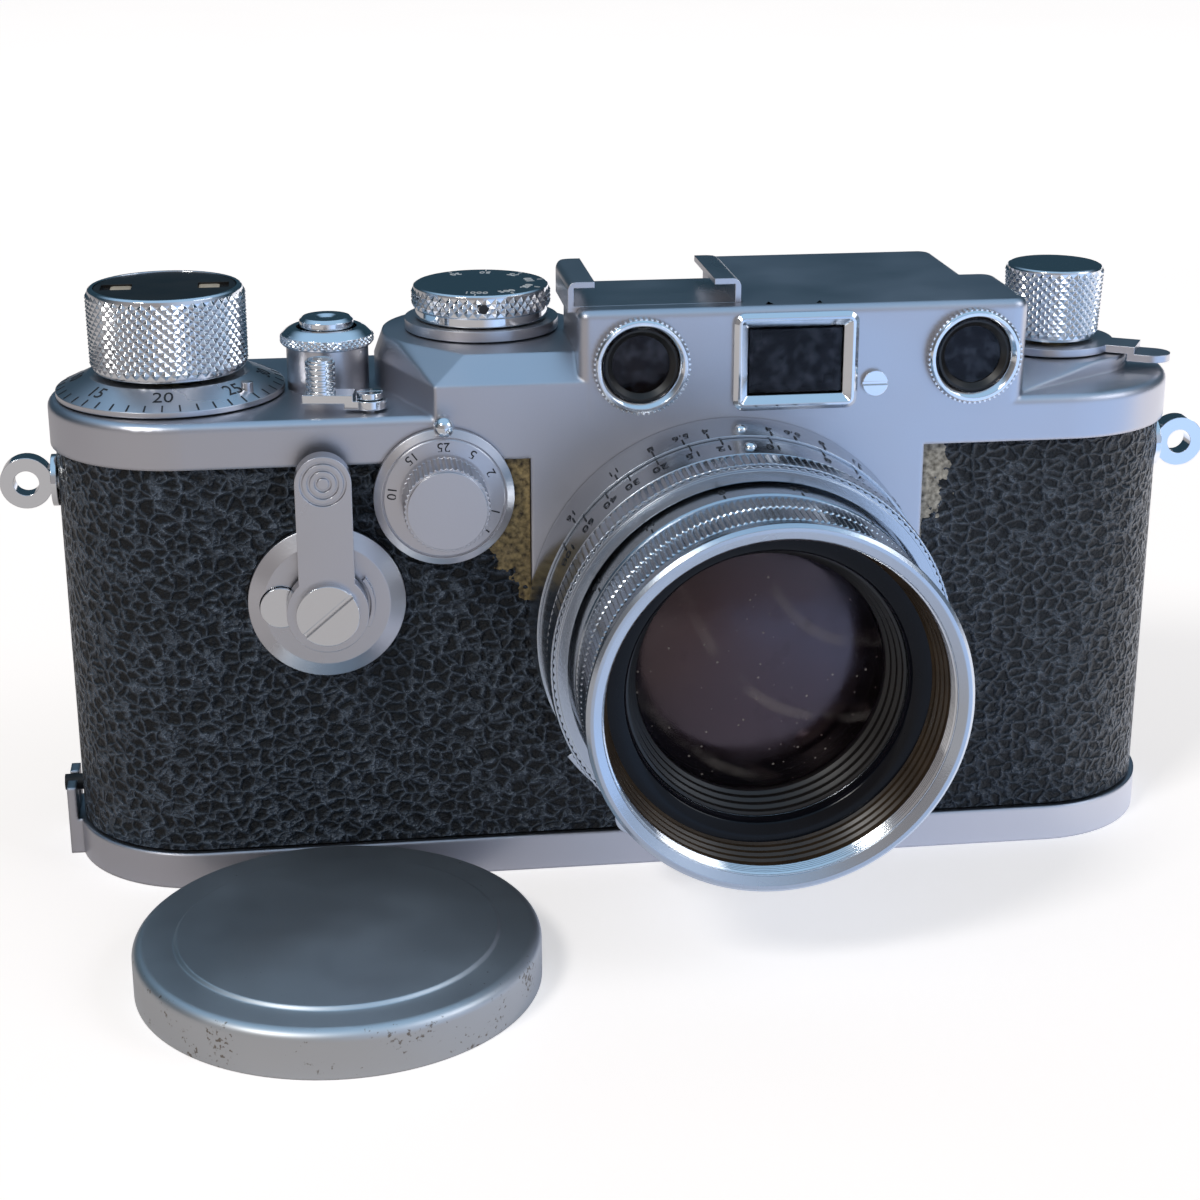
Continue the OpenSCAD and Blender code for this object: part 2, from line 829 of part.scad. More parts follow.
// A rectangle with round corners on its far side
module soft_corners(x0, x1, y0, y1, r) {
    translate([x0, y0]) square([x1 - x0, y1 - y0 - r]);
    translate([x0 + r, y0]) square([x1 - x0 - 2 * r, y1 - y0]);
    for (x = [x0 + r, x1 - r]) {
        translate([x, y1 - r]) circle(r);
    }
}

// An open-ended shoe, bent from sheet: a floor that lies flush in the cover, two sides and two lips
module accessory_shoe() {
    side_h = 2 * shoe_t + shoe_slot;
    back_y = shoe_y0 + shoe_len;
    color(satin)
    translate([0, 0, housing_z - shoe_t])
        intersection() {
            translate([0, back_y, 0])
                rotate([90, 0, 0])
                    linear_extrude(shoe_len)
                        difference() {
                            soft_corners(shoe_x0, shoe_x1, 0, side_h, shoe_bend);
                            translate([shoe_x0 + shoe_t, shoe_t]) square([shoe_w, shoe_slot]);
                            translate([shoe_x0 + shoe_t + shoe_lip, shoe_t])
                                square([shoe_w - 2 * shoe_lip, side_h]);
                        }
            linear_extrude(side_h)
                soft_corners(shoe_x0, shoe_x1, shoe_y0, back_y, shoe_corner);
        }
}

module window_ring(x) {
    color(polished)
    front(x, window_z)
        translate([0, 0, half_depth]) {
            difference() {
                union() {
                    serrated(window_r, window_proud, window_pitch, window_dip);
                    translate([0, 0, -finder_t]) cylinder(r = window_thread_r, h = finder_t);
                }
                translate([0, 0, -finder_t - eps])
                    cylinder(r = window_hole_r, h = finder_t + window_proud + 2 * eps);
            }
        }
}

module window_ring_left() {
    window_ring(window_xs[0]);
}

module window_ring_right() {
    window_ring(window_xs[1]);
}

module window_glasses() {
    pane = 0.8;
    color(glass) {
        for (x = window_xs) {
            front(x, window_z)
                translate([0, 0, half_depth - finder_t + 0.2])
                    cylinder(r = window_hole_r, h = pane);
        }
        for (x = eyepiece_xs) {
            front(x, window_z)
                translate([0, 0, -block_y]) cylinder(r = eyepiece_hole_r, h = pane);
        }
    }
}

module viewfinder_frame() {
    corner = 1.4;
    proud = 1;
    color(polished)
    front(finder_x, finder_z)
        translate([0, 0, half_depth])
            difference() {
                union() {
                    linear_extrude(proud) {
                        square([finder_w - 2 * corner, finder_h], center = true);
                        square([finder_w, finder_h - 2 * corner], center = true);
                        for (sx = [-1, 1], sz = [-1, 1]) {
                            translate([sx * (finder_w / 2 - corner), sz * (finder_h / 2 - corner)])
                                circle(r = corner);
                        }
                    }
                    translate([0, 0, -finder_t])
                        linear_extrude(finder_t)
                            square(
                                [finder_open_w + 1 - 2 * seat_gap, finder_open_h + 1 - 2 * seat_gap],
                                center = true
                            );
                }
                translate([0, 0, -finder_t - eps])
                    linear_extrude(finder_t + proud + 2 * eps)
                        square([finder_open_w - 0.4, finder_open_h - 0.4], center = true);
            }
}

module viewfinder_glass() {
    color(glass)
    front(finder_x, finder_z)
        translate([0, 0, half_depth - 0.6])
            linear_extrude(0.8)
                square([finder_open_w - 0.4, finder_open_h - 0.4], center = true);
}

module eyepiece_rings() {
    proud = 1;
    color(black)
    for (x = eyepiece_xs) {
        front(x, window_z)
            difference() {
                union() {
                    translate([0, 0, -block_y - proud]) cylinder(r = eyepiece_r, h = proud);
                    translate([0, 0, -block_y]) cylinder(r = eyepiece_thread_r, h = finder_t);
                }
                translate([0, 0, -block_y - proud - eps])
                    cylinder(r = eyepiece_hole_r, h = finder_t + proud + 2 * eps);
            }
    }
}

// A slotted screw, head up, with its shank below
module slotted_screw(shank) {
    difference() {
        union() {
            cylinder(r = screw_r, h = screw_head);
            translate([0, 0, -shank]) cylinder(r = screw_r / 2, h = shank);
        }
        translate([-screw_r, -0.2, screw_head / 2]) cube([2 * screw_r, 0.4, screw_head]);
    }
}

module cover_screws() {
    color(polished) {
        front(screw_xz[0], screw_xz[1])
            translate([0, 0, half_depth]) slotted_screw(finder_t);
        translate([clutch_x, clutch_y, clutch_z + clutch_t + 0.1])
            slotted_screw(clutch_z + clutch_t - shoulder_z + cover_t);
    }
}

module flash_socket() {
    proud = 1.4;
    color(polished)
    front(socket_x, window_z)
        difference() {
            union() {
                translate([0, 0, -block_y - proud]) cylinder(r = socket_r, h = proud);
                translate([0, 0, -block_y]) cylinder(r = socket_r - 0.7, h = finder_t);
            }
            translate([0, 0, -block_y - proud - eps])
                cylinder(r = socket_hole_r, h = proud + finder_t / 2);
        }
}

module strap_lugs() {
    foot_x = end_x - cover_step + 0.05;
    color(polished)
    for (side = [-1, 1]) {
        difference() {
            union() {
                front(side * lug_x, lug_z)
                    translate([0, 0, -lug_t / 2]) cylinder(r = lug_r, h = lug_t);
                translate([side * foot_x, 0, lug_z])
                    rotate([0, 90 * side, 0]) {
                        cylinder(r = lug_r, h = lug_foot_t);
                        cylinder(r = lug_stem_r / 2 + 0.4, h = lug_r);
                    }
                translate([side * (foot_x - leather_t - shell_t), 0, lug_z])
                    rotate([0, 90 * side, 0]) cylinder(r = lug_stem_r, h = leather_t + shell_t);
            }
            front(side * lug_x, lug_z)
                translate([0, 0, -lug_r]) cylinder(r = lug_hole_r, h = 2 * lug_r);
        }
    }
}

module mount_ring() {
    color(polished)
    on_lens() {
        ring_between(mount_r, mount_out_r, shell_f + 0.05, mount_f);
        ring_between(mount_r, mount_r + mount_sleeve_t, mount_back_f, mount_f);
    }
}

// Inside the body

module shutter_crate() {
    depth = crate_f + gate_y + gate_t;
    len = crate_x1 - crate_x0;
    h = deck_z - crate_z0;
    color(dark_metal)
    difference() {
        union() {
            translate([0, 0, deck_z])
                linear_extrude(deck_t) stadium(inner_len - 2 * seat_gap, inner_depth - 2 * seat_gap);
            translate([crate_x0, -crate_f, crate_z0]) {
                cube([len, crate_t, h]);
                cube([crate_t, depth, h]);
                cube([len, depth, crate_t]);
                translate([len - crate_t, 0, 0]) cube([crate_t, depth, h]);
                translate([0, depth - gate_t, 0]) cube([len, gate_t, h]);
            }
        }
        on_lens() cylinder(r = mount_r + mount_sleeve_t + seat_gap, h = half_depth);
        translate([lens_x - picture_w / 2, gate_y - 1, lens_z - picture_h / 2])
            cube([picture_w, gate_t + 2, picture_h]);
        translate([wind_x, 0, deck_z - 1]) cylinder(r = wind_shaft_r + fit_gap, h = deck_t + 2);
        translate([release_x, 0, deck_z - 1])
            cylinder(r = sprocket_shaft_r + fit_gap, h = deck_t + 2);
        translate([rewind_x, rewind_y, deck_z - 1])
            cylinder(r = rewind_shaft_r + fit_gap, h = deck_t + 2);
        translate([speed_x, speed_y, crate_z0 - 1]) cylinder(r = spindle_r + fit_gap, h = h + 4);
        translate([roller_x, roller_y, crate_z0 - 1]) cylinder(r = arm_pin_r + fit_gap, h = h + 4);
        translate([arm_x, arm_y, deck_z - 1]) cylinder(r = arm_pin_r + fit_gap, h = deck_t + 2);
        front(slow_x, slow_z) cylinder(r = slow_shaft_r + run_gap, h = half_depth);
    }
}

module pressure_plate() {
    margin = 4;
    color(black)
    translate([lens_x - picture_w / 2 - margin, gate_y + gate_t + 0.15, plate_z0])
        cube([picture_w + 2 * margin, plate_t, plate_z1 - plate_z0]);
}

module shutter_curtains() {
    reach = picture_w / 2 + 2;
    color(cloth)
    for (side = [-1, 1]) {
        x0 = side < 0 ? lens_x - reach : lens_x + curtain_slit;
        translate([x0, gate_y - curtain_t - seat_gap, lens_z - curtain_h / 2])
            cube([reach - curtain_slit, curtain_t, curtain_h]);
    }
}

module curtain_roller() {
    color(polished)
    translate([roller_x, roller_y, 0]) {
        translate([0, 0, drum_z0]) cylinder(r = roller_r, h = drum_z1 - drum_z0);
        translate([0, 0, crate_z0]) cylinder(r = arm_pin_r, h = deck_z + deck_t - crate_z0);
    }
}

module rangefinder_prisms() {
    h = prism_w + 2;
    color(glass)
    for (x = window_xs) {
        translate([x, -half_depth + finder_t + 1, housing_z - finder_t - seat_gap - h])
            linear_extrude(h)
                polygon([[-prism_w / 2, 0], [prism_w / 2, 0], [prism_w / 2, prism_w]]);
    }
}

module rangefinder_arm() {
    color(brass)
    translate([arm_x, arm_y, arm_z0]) {
        translate([-arm_len, -arm_w / 2, 0]) cube([arm_len, arm_w, arm_t]);
        translate([-arm_len, 0, 0]) cylinder(r = arm_roller_r, h = arm_t);
        cylinder(r = arm_w / 2 + 0.4, h = arm_t);
        cylinder(r = arm_pin_r, h = deck_z + deck_t - arm_z0);
    }
}

// Wind train

module wind_knob() {
    color(polished)
    translate([wind_x, 0, 0])
        difference() {
            union() {
                translate([0, 0, wind_z0 + 0.4]) serrated(wind_r, wind_z - wind_z0 - 0.8);
                translate([0, 0, wind_z0]) cylinder(r = wind_core_r, h = wind_z - wind_z0);
            }
            translate([0, 0, wind_z - disc_recess]) cylinder(r = disc_r + fit_gap, h = disc_recess + 1);
            translate([0, 0, wind_z0 - eps])
                cylinder(r = wind_shaft_r + fit_gap, h = wind_z - wind_z0 - 3.5);
        }
}

module wind_shaft() {
    color(polished)
    translate([wind_x, 0, 0]) {
        translate([0, 0, spool_z0]) cylinder(r = wind_shaft_r, h = wind_z - 3.7 - spool_z0);
        translate([0, 0, gear_z]) gear(gear_gap, 0);
    }
}

module takeup_spool() {
    color(black)
    translate([wind_x, 0, 0])
        difference() {
            union() {
                translate([0, 0, spool_z0]) cylinder(r = spool_core_r, h = spool_z1 - spool_z0);
                for (z = [spool_z0, spool_z1 - spool_flange]) {
                    translate([0, 0, z]) cylinder(r = spool_r, h = spool_flange);
                }
            }
            translate([0, 0, spool_z0 - eps])
                cylinder(r = wind_shaft_r + seat_gap, h = spool_z1 - spool_z0 + 2 * eps);
        }
}

module reminder_disc() {
    slot = [3.6, 3.2];
    slot_x = 3.8;
    color(black)
    translate([wind_x, 0, wind_z - disc_recess + seat_gap])
        difference() {
            cylinder(r = disc_r, h = disc_t);
            for (side = [-1, 1]) {
                translate([side * (slot_x + slot[0] / 2), 0, disc_t])
                    cube([slot[0], slot[1], disc_t], center = true);
            }
        }
}

module counter_dial() {
    pin_r = 0.7;
    pin_x = (counter_top_r + counter_r) / 2;
    bore = wind_shaft_r + run_gap;
    color(satin)
    translate([wind_x, 0, counter_z]) {
        rotate_extrude()
            polygon([
                [bore, 0],
                [counter_r, 0],
                [counter_r, counter_edge],
                [counter_top_r, counter_t],
                [bore, counter_t]
            ]);
        for (turn = [-38, 142]) {
            rotate([0, 0, turn])
                translate([pin_x, 0, counter_edge]) cylinder(r = pin_r, h = counter_t - counter_edge);
        }
    }
}

module sprocket() {
    color(polished)
    translate([release_x, 0, 0])
        difference() {
            union() {
                translate([0, 0, sprocket_z0]) cylinder(r = sprocket_r, h = sprocket_z1 - sprocket_z0);
                translate([0, 0, sprocket_z1])
                    cylinder(r = sprocket_shaft_r, h = gear_z + gear_h + 0.5 - sprocket_z1);
                translate([0, 0, gear_z]) gear(gear_gap, gear_pitch / 2);
                for (z = [sprocket_z0 + 3, sprocket_z1 - 3], i = [1 : sprocket_teeth]) {
                    rotate([0, 0, i * 360 / sprocket_teeth])
                        translate([0, -tooth_w / 2, z - tooth_w / 2])
                            cube([sprocket_r + tooth_reach, tooth_w, tooth_w]);
                }
            }
            translate([0, 0, sprocket_z1 - 4]) cylinder(r = rod_r + run_gap, h = deck_z);
        }
}

module curtain_drum() {
    phase = 180 + 2 * mesh_dir;
    color(brass)
    translate([speed_x, speed_y, 0]) {
        translate([0, 0, drum_z0]) cylinder(r = drum_r, h = drum_z1 - drum_z0);
        translate([0, 0, crate_z0]) cylinder(r = spindle_r, h = speed_z - 2.6 - crate_z0);
        translate([0, 0, gear_z]) gear(drum_gear_r, phase);
    }
}

// Speed dial

module speed_bush() {
    color(brass)
    translate([speed_x, speed_y, sync_z]) tube(speed_bush_r, spindle_r + fit_gap, speed_z - 1.6 - sync_z);
}

module speed_dial() {
    rim_z = speed_z - speed_rim_h;
    color(polished)
    translate([speed_x, speed_y, 0])
        difference() {
            union() {
                translate([0, 0, rim_z]) serrated(speed_r, speed_rim_h - 0.2);
                translate([0, 0, speed_z0]) cylinder(r = speed_r - 0.5, h = speed_z - speed_z0);
            }
            translate([0, 0, speed_z0 - eps])
                cylinder(r = speed_bush_r + fit_gap, h = speed_z - 1.5 - speed_z0);
            translate([0, 0, speed_z - speed_rim_h / 2])
                rotate([90, 0, 0]) cylinder(r = 0.5, h = speed_r + 1);
        }
}

module flash_ring() {
    color(satin)
    translate([speed_x, speed_y, sync_z])
        difference() {
            cylinder(r = sync_r, h = sync_t);
            translate([0, 0, -eps]) cylinder(r = speed_bush_r + run_gap, h = sync_t + 1);
        }
}

// Shutter release

module release_collar() {
    color(satin)
    translate([release_x, 0, shoulder_z])
        difference() {
            cylinder(r = collar_r, h = collar_z - shoulder_z);
            translate([0, 0, 0.6]) cylinder(r = button_r + run_gap, h = collar_z);
            translate([0, 0, -eps]) cylinder(r = rod_r + fit_gap, h = collar_z);
        }
}

module guard_ring() {
    color(polished)
    translate([release_x, 0, collar_z + 0.05])
        difference() {
            union() {
                serrated(guard_r, guard_rim_h);
                translate([0, 0, guard_rim_h - 0.1])
                    cylinder(r1 = guard_r - 0.5, r2 = button_r + 1.2, h = guard_h - guard_rim_h + 0.1);
            }
            translate([0, 0, -eps]) cylinder(r = button_r + run_gap, h = guard_h + 1);
        }
}

module release_button() {
    dimple_r = 1.5;
    low = gear_z - 2.6;
    color(polished)
    translate([release_x, 0, 0])
        difference() {
            union() {
                translate([0, 0, low]) cylinder(r = rod_r, h = button_z - 1 - low);
                translate([0, 0, cap_flange_z]) cylinder(r = button_r, h = button_z - 0.4 - cap_flange_z);
                translate([0, 0, button_z - 0.4])
                    cylinder(r1 = button_r, r2 = button_r - 0.4, h = 0.4);
            }
            translate([0, 0, button_z - 0.3]) cylinder(r1 = dimple_r / 2, r2 = dimple_r, h = 0.31);
        }
}

// The coil's middle line, and a tube swept along it
spring_steps = 8 * spring_turns;
spring_sides = 6;
spring_z0 = shoulder_z + 0.6 + spring_wire + 0.1;
spring_z1 = cap_flange_z - spring_wire - 0.1;
spring_self_gap = (spring_z1 - spring_z0) / spring_turns - 2 * spring_wire;
echo(spring_self_gap = spring_self_gap);

function spring_point(i, j) =
    let (
        turn = 360 * i / 8,
        side = 360 * j / spring_sides,
        r = spring_r + spring_wire * cos(side)
    )
        [
            r * cos(turn), r * sin(turn),
            spring_z0 + (spring_z1 - spring_z0) * i / spring_steps + spring_wire * sin(side)
        ];

module release_spring() {
    points = [
        for (i = [0 : spring_steps], j = [0 : spring_sides - 1]) spring_point(i, j)
    ];
    sides = [
        for (i = [0 : spring_steps - 1], j = [0 : spring_sides - 1])
            let (a = i * spring_sides + j, b = i * spring_sides + (j + 1) % spring_sides)
                each [
                    [a, a + spring_sides, b + spring_sides],
                    [a, b + spring_sides, b]
                ]
    ];
    last = spring_steps * spring_sides;
    caps = [
        for (j = [1 : spring_sides - 2]) each [
            [0, j, j + 1],
            [last, last + j + 1, last + j]
        ]
    ];
    color(polished)
    translate([release_x, 0, 0]) polyhedron(points, concat(sides, caps));
}

// Levers on the top

module rewind_lever() {
    post_x = clutch_len;
    color(polished)
    translate([clutch_x, clutch_y, clutch_z])
        rotate([0, 0, clutch_turn])
            difference() {
                union() {
                    cylinder(r = clutch_pad_r, h = clutch_t);
                    translate([0, -clutch_pad_r * 0.8, 0])
                        cube([clutch_len / 2, clutch_pad_r * 1.6, clutch_t]);
                    translate([clutch_len / 2 - clutch_t, -clutch_pad_r * 0.8, 0])
                        cube([clutch_t, clutch_pad_r * 1.6, clutch_t + clutch_step]);
                    translate([clutch_len / 2 - clutch_t, -clutch_pad_r * 0.8, clutch_step])
                        cube([clutch_len / 2 + clutch_t + 2, clutch_pad_r * 1.6, clutch_t]);
                    translate([post_x, 0, clutch_step]) cylinder(r = post_r - 0.25, h = clutch_t + post_h);
                    for (i = [0 : post_ribs - 1]) {
                        translate([post_x, 0, clutch_step + clutch_t + i * post_h / post_ribs])
                            cylinder(r = post_r, h = post_h / post_ribs / 2);
                    }
                }
                translate([0, 0, -1]) cylinder(r = screw_r / 2 + fit_gap, h = clutch_t + 2);
            }
}

module eyesight_lever() {
    turn = -29;
    color(satin)
    translate([rewind_x, rewind_y, sight_z])
        difference() {
            union() {
                cylinder(r = sight_r, h = sight_t);
                rotate([0, 0, turn]) {
                    translate([0, -sight_arm, 0]) cube([boss_r + 0.5, 2 * sight_arm, sight_t]);
                    translate([boss_r + 0.5, -sight_arm, -sight_step])
                        cube([sight_t, 2 * sight_arm, sight_t + sight_step]);
                    translate([boss_r + 0.5, -sight_arm, -sight_step])
                        cube([sight_len - boss_r - 0.5, 2 * sight_arm, sight_t]);
                    translate([sight_len, 0, -sight_step]) cylinder(r = sight_arm, h = sight_t);
                }
            }
            translate([0, 0, -2]) cylinder(r = rewind_shaft_r + run_gap, h = 4);
        }
}

module rewind_shaft() {
    color(polished)
    translate([rewind_x, rewind_y, 0]) {
        translate([0, 0, rewind_shaft_z0])
            cylinder(r = rewind_shaft_r, h = rewind_z - 1.4 - rewind_shaft_z0);
        for (side = [-1, 1]) {
            translate([side * rewind_shaft_r / 2 - fork_w / 2, -fork_w / 2, fork_z])
                cube([fork_w, fork_w, rewind_shaft_z0 - fork_z + 1]);
        }
        translate([0, 0, deck_z - 1.4]) cylinder(r = rewind_shaft_r + 1, h = 1.2);
    }
}

module rewind_knob() {
    core_h = rewind_z - rewind_z0;
    color(polished)
    translate([rewind_x, rewind_y, rewind_z0])
        difference() {
            union() {
                cylinder(r = rewind_r - rewind_bevel, h = core_h);
                translate([0, 0, rewind_bevel]) serrated(rewind_r, core_h - 2 * rewind_bevel);
            }
            translate([0, 0, -eps]) cylinder(r = rewind_shaft_r + fit_gap, h = core_h - 1.3);
        }
}

// Front controls

module self_timer_plate() {
    color(satin)
    front(timer_x, timer_z)
        difference() {
            union() {
                translate([0, 0, timer_f0]) cylinder(r = timer_r, h = timer_f1 - timer_f0 - timer_bevel);
                translate([0, 0, timer_f1 - timer_bevel])
                    cylinder(r1 = timer_r, r2 = timer_r - timer_cone, h = timer_bevel);
                translate([0, 0, timer_f1 - eps])
                    rotate([0, 0, -30])
                        rotate_extrude(angle = 66)
                            translate([timer_stop[0], 0]) square([timer_stop[1], timer_stop[2]]);
            }
            cylinder(r = timer_shaft_r + fit_gap, h = half_depth + 4);
            translate([-start_dx, 0, 0]) cylinder(r = start_r + fit_gap, h = half_depth + 4);
        }
}

module timer_lever() {
    groove = 0.3;
    color(satin)
    front(timer_x, timer_z) {
        translate([0, 0, shell_f - shell_t])
            cylinder(r = timer_shaft_r, h = timer_lever_f - shell_f + shell_t);
        translate([0, 0, timer_lever_f])
            difference() {
                linear_extrude(timer_lever_t) {
                    circle(r = timer_hub_r);
                    translate([-timer_arm_r, 0]) square([2 * timer_arm_r, timer_len]);
                    translate([0, timer_len]) circle(r = timer_arm_r);
                }
                translate([0, timer_len, timer_lever_t - groove]) {
                    for (r = [0.82, 0.56, 0.3]) {
                        tube(timer_arm_r * r, timer_arm_r * r - groove, 1);
                    }
                }
            }
    }
}

module timer_screw() {
    slot_t = 0.55;
    slot_turn = 40;
    head = 1;
    color(polished)
    front(timer_x, timer_z)
        translate([0, 0, timer_lever_f + timer_lever_t])
            difference() {
                cylinder(r = timer_screw_r, h = head);
                rotate([0, 0, slot_turn])
                    translate([-timer_screw_r, -slot_t / 2, head / 2])
                        cube([2 * timer_screw_r, slot_t, head]);
            }
}

module timer_button() {
    color(polished)
    front(timer_x - start_dx, timer_z)
        translate([0, 0, timer_f0]) cylinder(r = start_r, h = start_f - timer_f0);
}

module slow_dial() {
    color(satin)
    front(slow_x, slow_z) {
        translate([0, 0, shell_f - shell_t]) cylinder(r = slow_shaft_r, h = slow_f - shell_f + shell_t);
        rotate_extrude()
            polygon([
                [0, slow_f],
                [slow_r, slow_f],
                [slow_r, slow_f + slow_t - slow_bevel],
                [slow_ring_r, slow_f + slow_t - slow_line],
                [slow_ring_r - slow_line, slow_f + slow_t - 2 * slow_line],
                [slow_ring_r - 2 * slow_line, slow_f + slow_t - slow_line],
                [slow_knob_r + 2 * slow_line, slow_f + slow_t],
                [0, slow_f + slow_t]
            ]);
        translate([0, 0, slow_f + slow_t - slow_sink]) {
            serrated(slow_knob_r, slow_knob_h + slow_sink - 0.4, window_pitch, window_dip);
            cylinder(r = slow_knob_r - 0.4, h = slow_knob_h + slow_sink);
        }
    }
}

module slow_dial_pin() {
    color(polished)
    front(slow_x, slow_pin_z) {
        translate([0, 0, half_depth - cover_t])
            cylinder(r = slow_pin_r, h = slow_ball_f - half_depth + cover_t);
        translate([0, 0, slow_ball_f]) sphere(r = slow_ball_r);
    }
}

// Base plate

module base_plate() {
    color(satin)
    difference() {
        union() {
            linear_extrude(base_h) stadium(body_len, body_depth);
            translate([-end_x - ear_t, -ear_w / 2, 0]) cube([ear_t + base_wall / 2, ear_w, base_h]);
            translate([-end_x - ear_t, -ear_w / 2, 0]) cube([ear_t, ear_w, ear_top]);
        }
        translate([0, 0, base_floor])
            linear_extrude(base_h) stadium(body_len - 2 * base_wall, body_depth - 2 * base_wall);
        translate([-end_x - ear_t - 1, -slot_w / 2, slot_z]) cube([ear_t + 1 + base_wall, slot_w, ear_top]);
        translate([key_x, 0, -1]) cylinder(r = key_r + fit_gap, h = base_floor + 2);
        translate([tripod_x, 0, -1]) cylinder(r = bush_r + seat_gap, h = base_floor + 2);
    }
}

module key_hub() {
    low = 0.15;
    flange_z = base_floor + 0.1;
    color(satin)
    translate([key_x, 0, 0])
        difference() {
            union() {
                translate([0, 0, low]) cylinder(r = key_r, h = flange_z + hub_flange_t - low);
                translate([0, 0, flange_z]) cylinder(r = key_r + hub_flange_w, h = hub_flange_t);
                translate([-latch_len + key_r, -latch_w / 2, flange_z + hub_flange_t])
                    cube([latch_len, latch_w, latch_t]);
            }
            translate([0, 0, low - 1]) cylinder(r = key_recess_r, h = key_recess_h + 1);
            translate([-key_r - 1, 0, low + key_recess_h / 2])
                rotate([0, 90, 0]) cylinder(r = bail_pin_r + fit_gap, h = 2 * key_r + 2);
        }
}

// The folding ring of the lock key, which turns on two pins in the hub
module key_ring() {
    z = 0.15 + key_recess_h / 2;
    color(polished)
    translate([key_x, 0, z]) {
        translate([0, 0, -bail_t / 2])
            rotate_extrude(angle = 180) translate([bail_r - bail_w, 0]) square([bail_w, bail_t]);
        for (side = [-1, 1]) {
            translate([side * (bail_r - bail_w / 2), 0, 0])
                rotate([0, 90 * side, 0]) cylinder(r = bail_pin_r, h = bail_w / 2 + 0.8);
        }
    }
}

module tripod_bush() {
    color(brass)
    translate([tripod_x, 0, 0])
        difference() {
            union() {
                cylinder(r = bush_r, h = tripod_depth + 1);
                translate([0, 0, base_floor]) cylinder(r = bush_r + bush_flange, h = 1);
            }
            translate([0, 0, -eps]) cylinder(r = tripod_r, h = tripod_depth);
        }
}

// Lens

module lens_flange() {
    color(satin)
    on_lens()
        rotate_extrude()
            polygon([
                [carrier_r + fit_gap, mount_back_f + 0.5],
                [mount_r - fit_gap, mount_back_f + 0.5],
                [mount_r - fit_gap, flange_f],
                [flange_r, flange_f],
                [flange_r, flange_f + flange_lip],
                [field_r, field_f],
                [scale_r + 0.2, field_f],
                [scale_r + 0.2, flange_f + 2.5],
                [carrier_r + fit_gap, flange_f + 2.5]
            ]);
}

module lens_carrier() {
    color(polished)
    on_lens() {
        ring_between(tube_r + fit_gap, carrier_r, carrier_f0, carrier_f1);
        ring_between(tube_r + fit_gap, carrier_flange_r, focus_web_f + run_gap, carrier_f1);
    }
}

module focus_ring() {
    groove_f = focus_f1 - coin_h;
    inner_r = carrier_flange_r + 0.6;
    color(satin)
    on_lens() {
        ring_between(carrier_r + fit_gap, focus_r - 0.4, focus_web_f - focus_web_t, focus_web_f);
        rotate_extrude()
            polygon([
                [inner_r, focus_f],
                [focus_r, focus_f],
                [focus_r - 0.2, groove_f - 0.7],
                [focus_r - 0.8, groove_f - 0.4],
                [focus_r - 0.8, focus_f1],
                [inner_r, focus_f1]
            ]);
        translate([0, 0, groove_f])
            difference() {
                linear_extrude(coin_h - 0.5) polygon(star(coin_teeth, focus_r - 0.3, coin_depth));
                translate([0, 0, -eps]) cylinder(r = inner_r, h = coin_h);
            }
        // the tab that the finger turns, with the seat of the infinity lock
        rotate([0, 0, tab_angle])
            translate([0, 0, focus_f + 0.4])
                difference() {
                    union() {
                        translate([tab_reach, 0, 0]) cylinder(r = tab_r, h = 2.6);
                        translate([focus_r - 1, -tab_r, 0]) cube([tab_reach - focus_r + 1, 2 * tab_r, 2.6]);
                    }
                    translate([tab_reach, 0, -1]) cylinder(r = lock_r + fit_gap, h = 5);
                }
        // its broad root along the ring
        intersection() {
            ring_between(focus_r - 1, tab_root_r, focus_f + 0.4, focus_f + 1.6);
            rotate([0, 0, tab_angle - tab_root_angle])
                linear_extrude(rim_f)
                    polygon([
                        [1, 0],
                        [2 * focus_r, 0],
                        [2 * focus_r, 2 * focus_r * tan(tab_root_angle - 6)]
                    ]);
        }
    }
}

module focus_lock() {
    dome = 0.5;
    color(polished)
    on_lens()
        rotate([0, 0, tab_angle])
            translate([tab_reach, 0, focus_f + 0.8]) {
                cylinder(r = lock_r, h = 2.2 + lock_h - dome);
                translate([0, 0, 2.2 + lock_h - dome]) cylinder(r1 = lock_r, r2 = lock_r - dome, h = dome);
            }
}

module lens_tube() {
    web_f = scale_f1 - scale_web;
    bore = front_glass_r + 0.05;
    color(satin)
    on_lens() {
        ring_between(tube_r - 1.15, tube_r, tube_f0, web_f + 0.5);
        ring_between(rear_glass_r + 0.05, tube_r, tube_f0, tube_f0 + 2);
        ring_between(scale_r - 1.1, scale_r, scale_f0, scale_f1);
        ring_between(bore, scale_r, web_f, scale_f1);
        ring_between(bore, nose_r, web_f, nose_f);
    }
}

// Rows of scallops on a sleeve, for the fingers
module scallop_row(f, h) {
    hole_r = aperture_body_r - 0.1;
    translate([0, 0, f])
        difference() {
            linear_extrude(h) polygon(star(scallops, aperture_r, scallop_dip));
            translate([0, 0, -eps]) cylinder(r = hole_r, h = h + 1);
        }
}

module aperture_ring() {
    skirt_f = nose_f + 0.3;
    skirt_r = filter_r + rim_skirt_t + fit_gap;
    wide_f = aperture_f0 + narrow_row + row_gap;
    color(satin)
    on_lens() {
        rotate_extrude()
            polygon([
                [nose_r + fit_gap, aperture_f0],
                [aperture_body_r, aperture_f0],
                [aperture_body_r, aperture_f1],
                [skirt_r, aperture_f1],
                [skirt_r, skirt_f - 0.4],
                [nose_r + fit_gap, skirt_f - 0.4]
            ]);
        scallop_row(aperture_f0 + 0.2, narrow_row);
        scallop_row(wide_f, aperture_f1 - 0.3 - wide_f);
    }
}

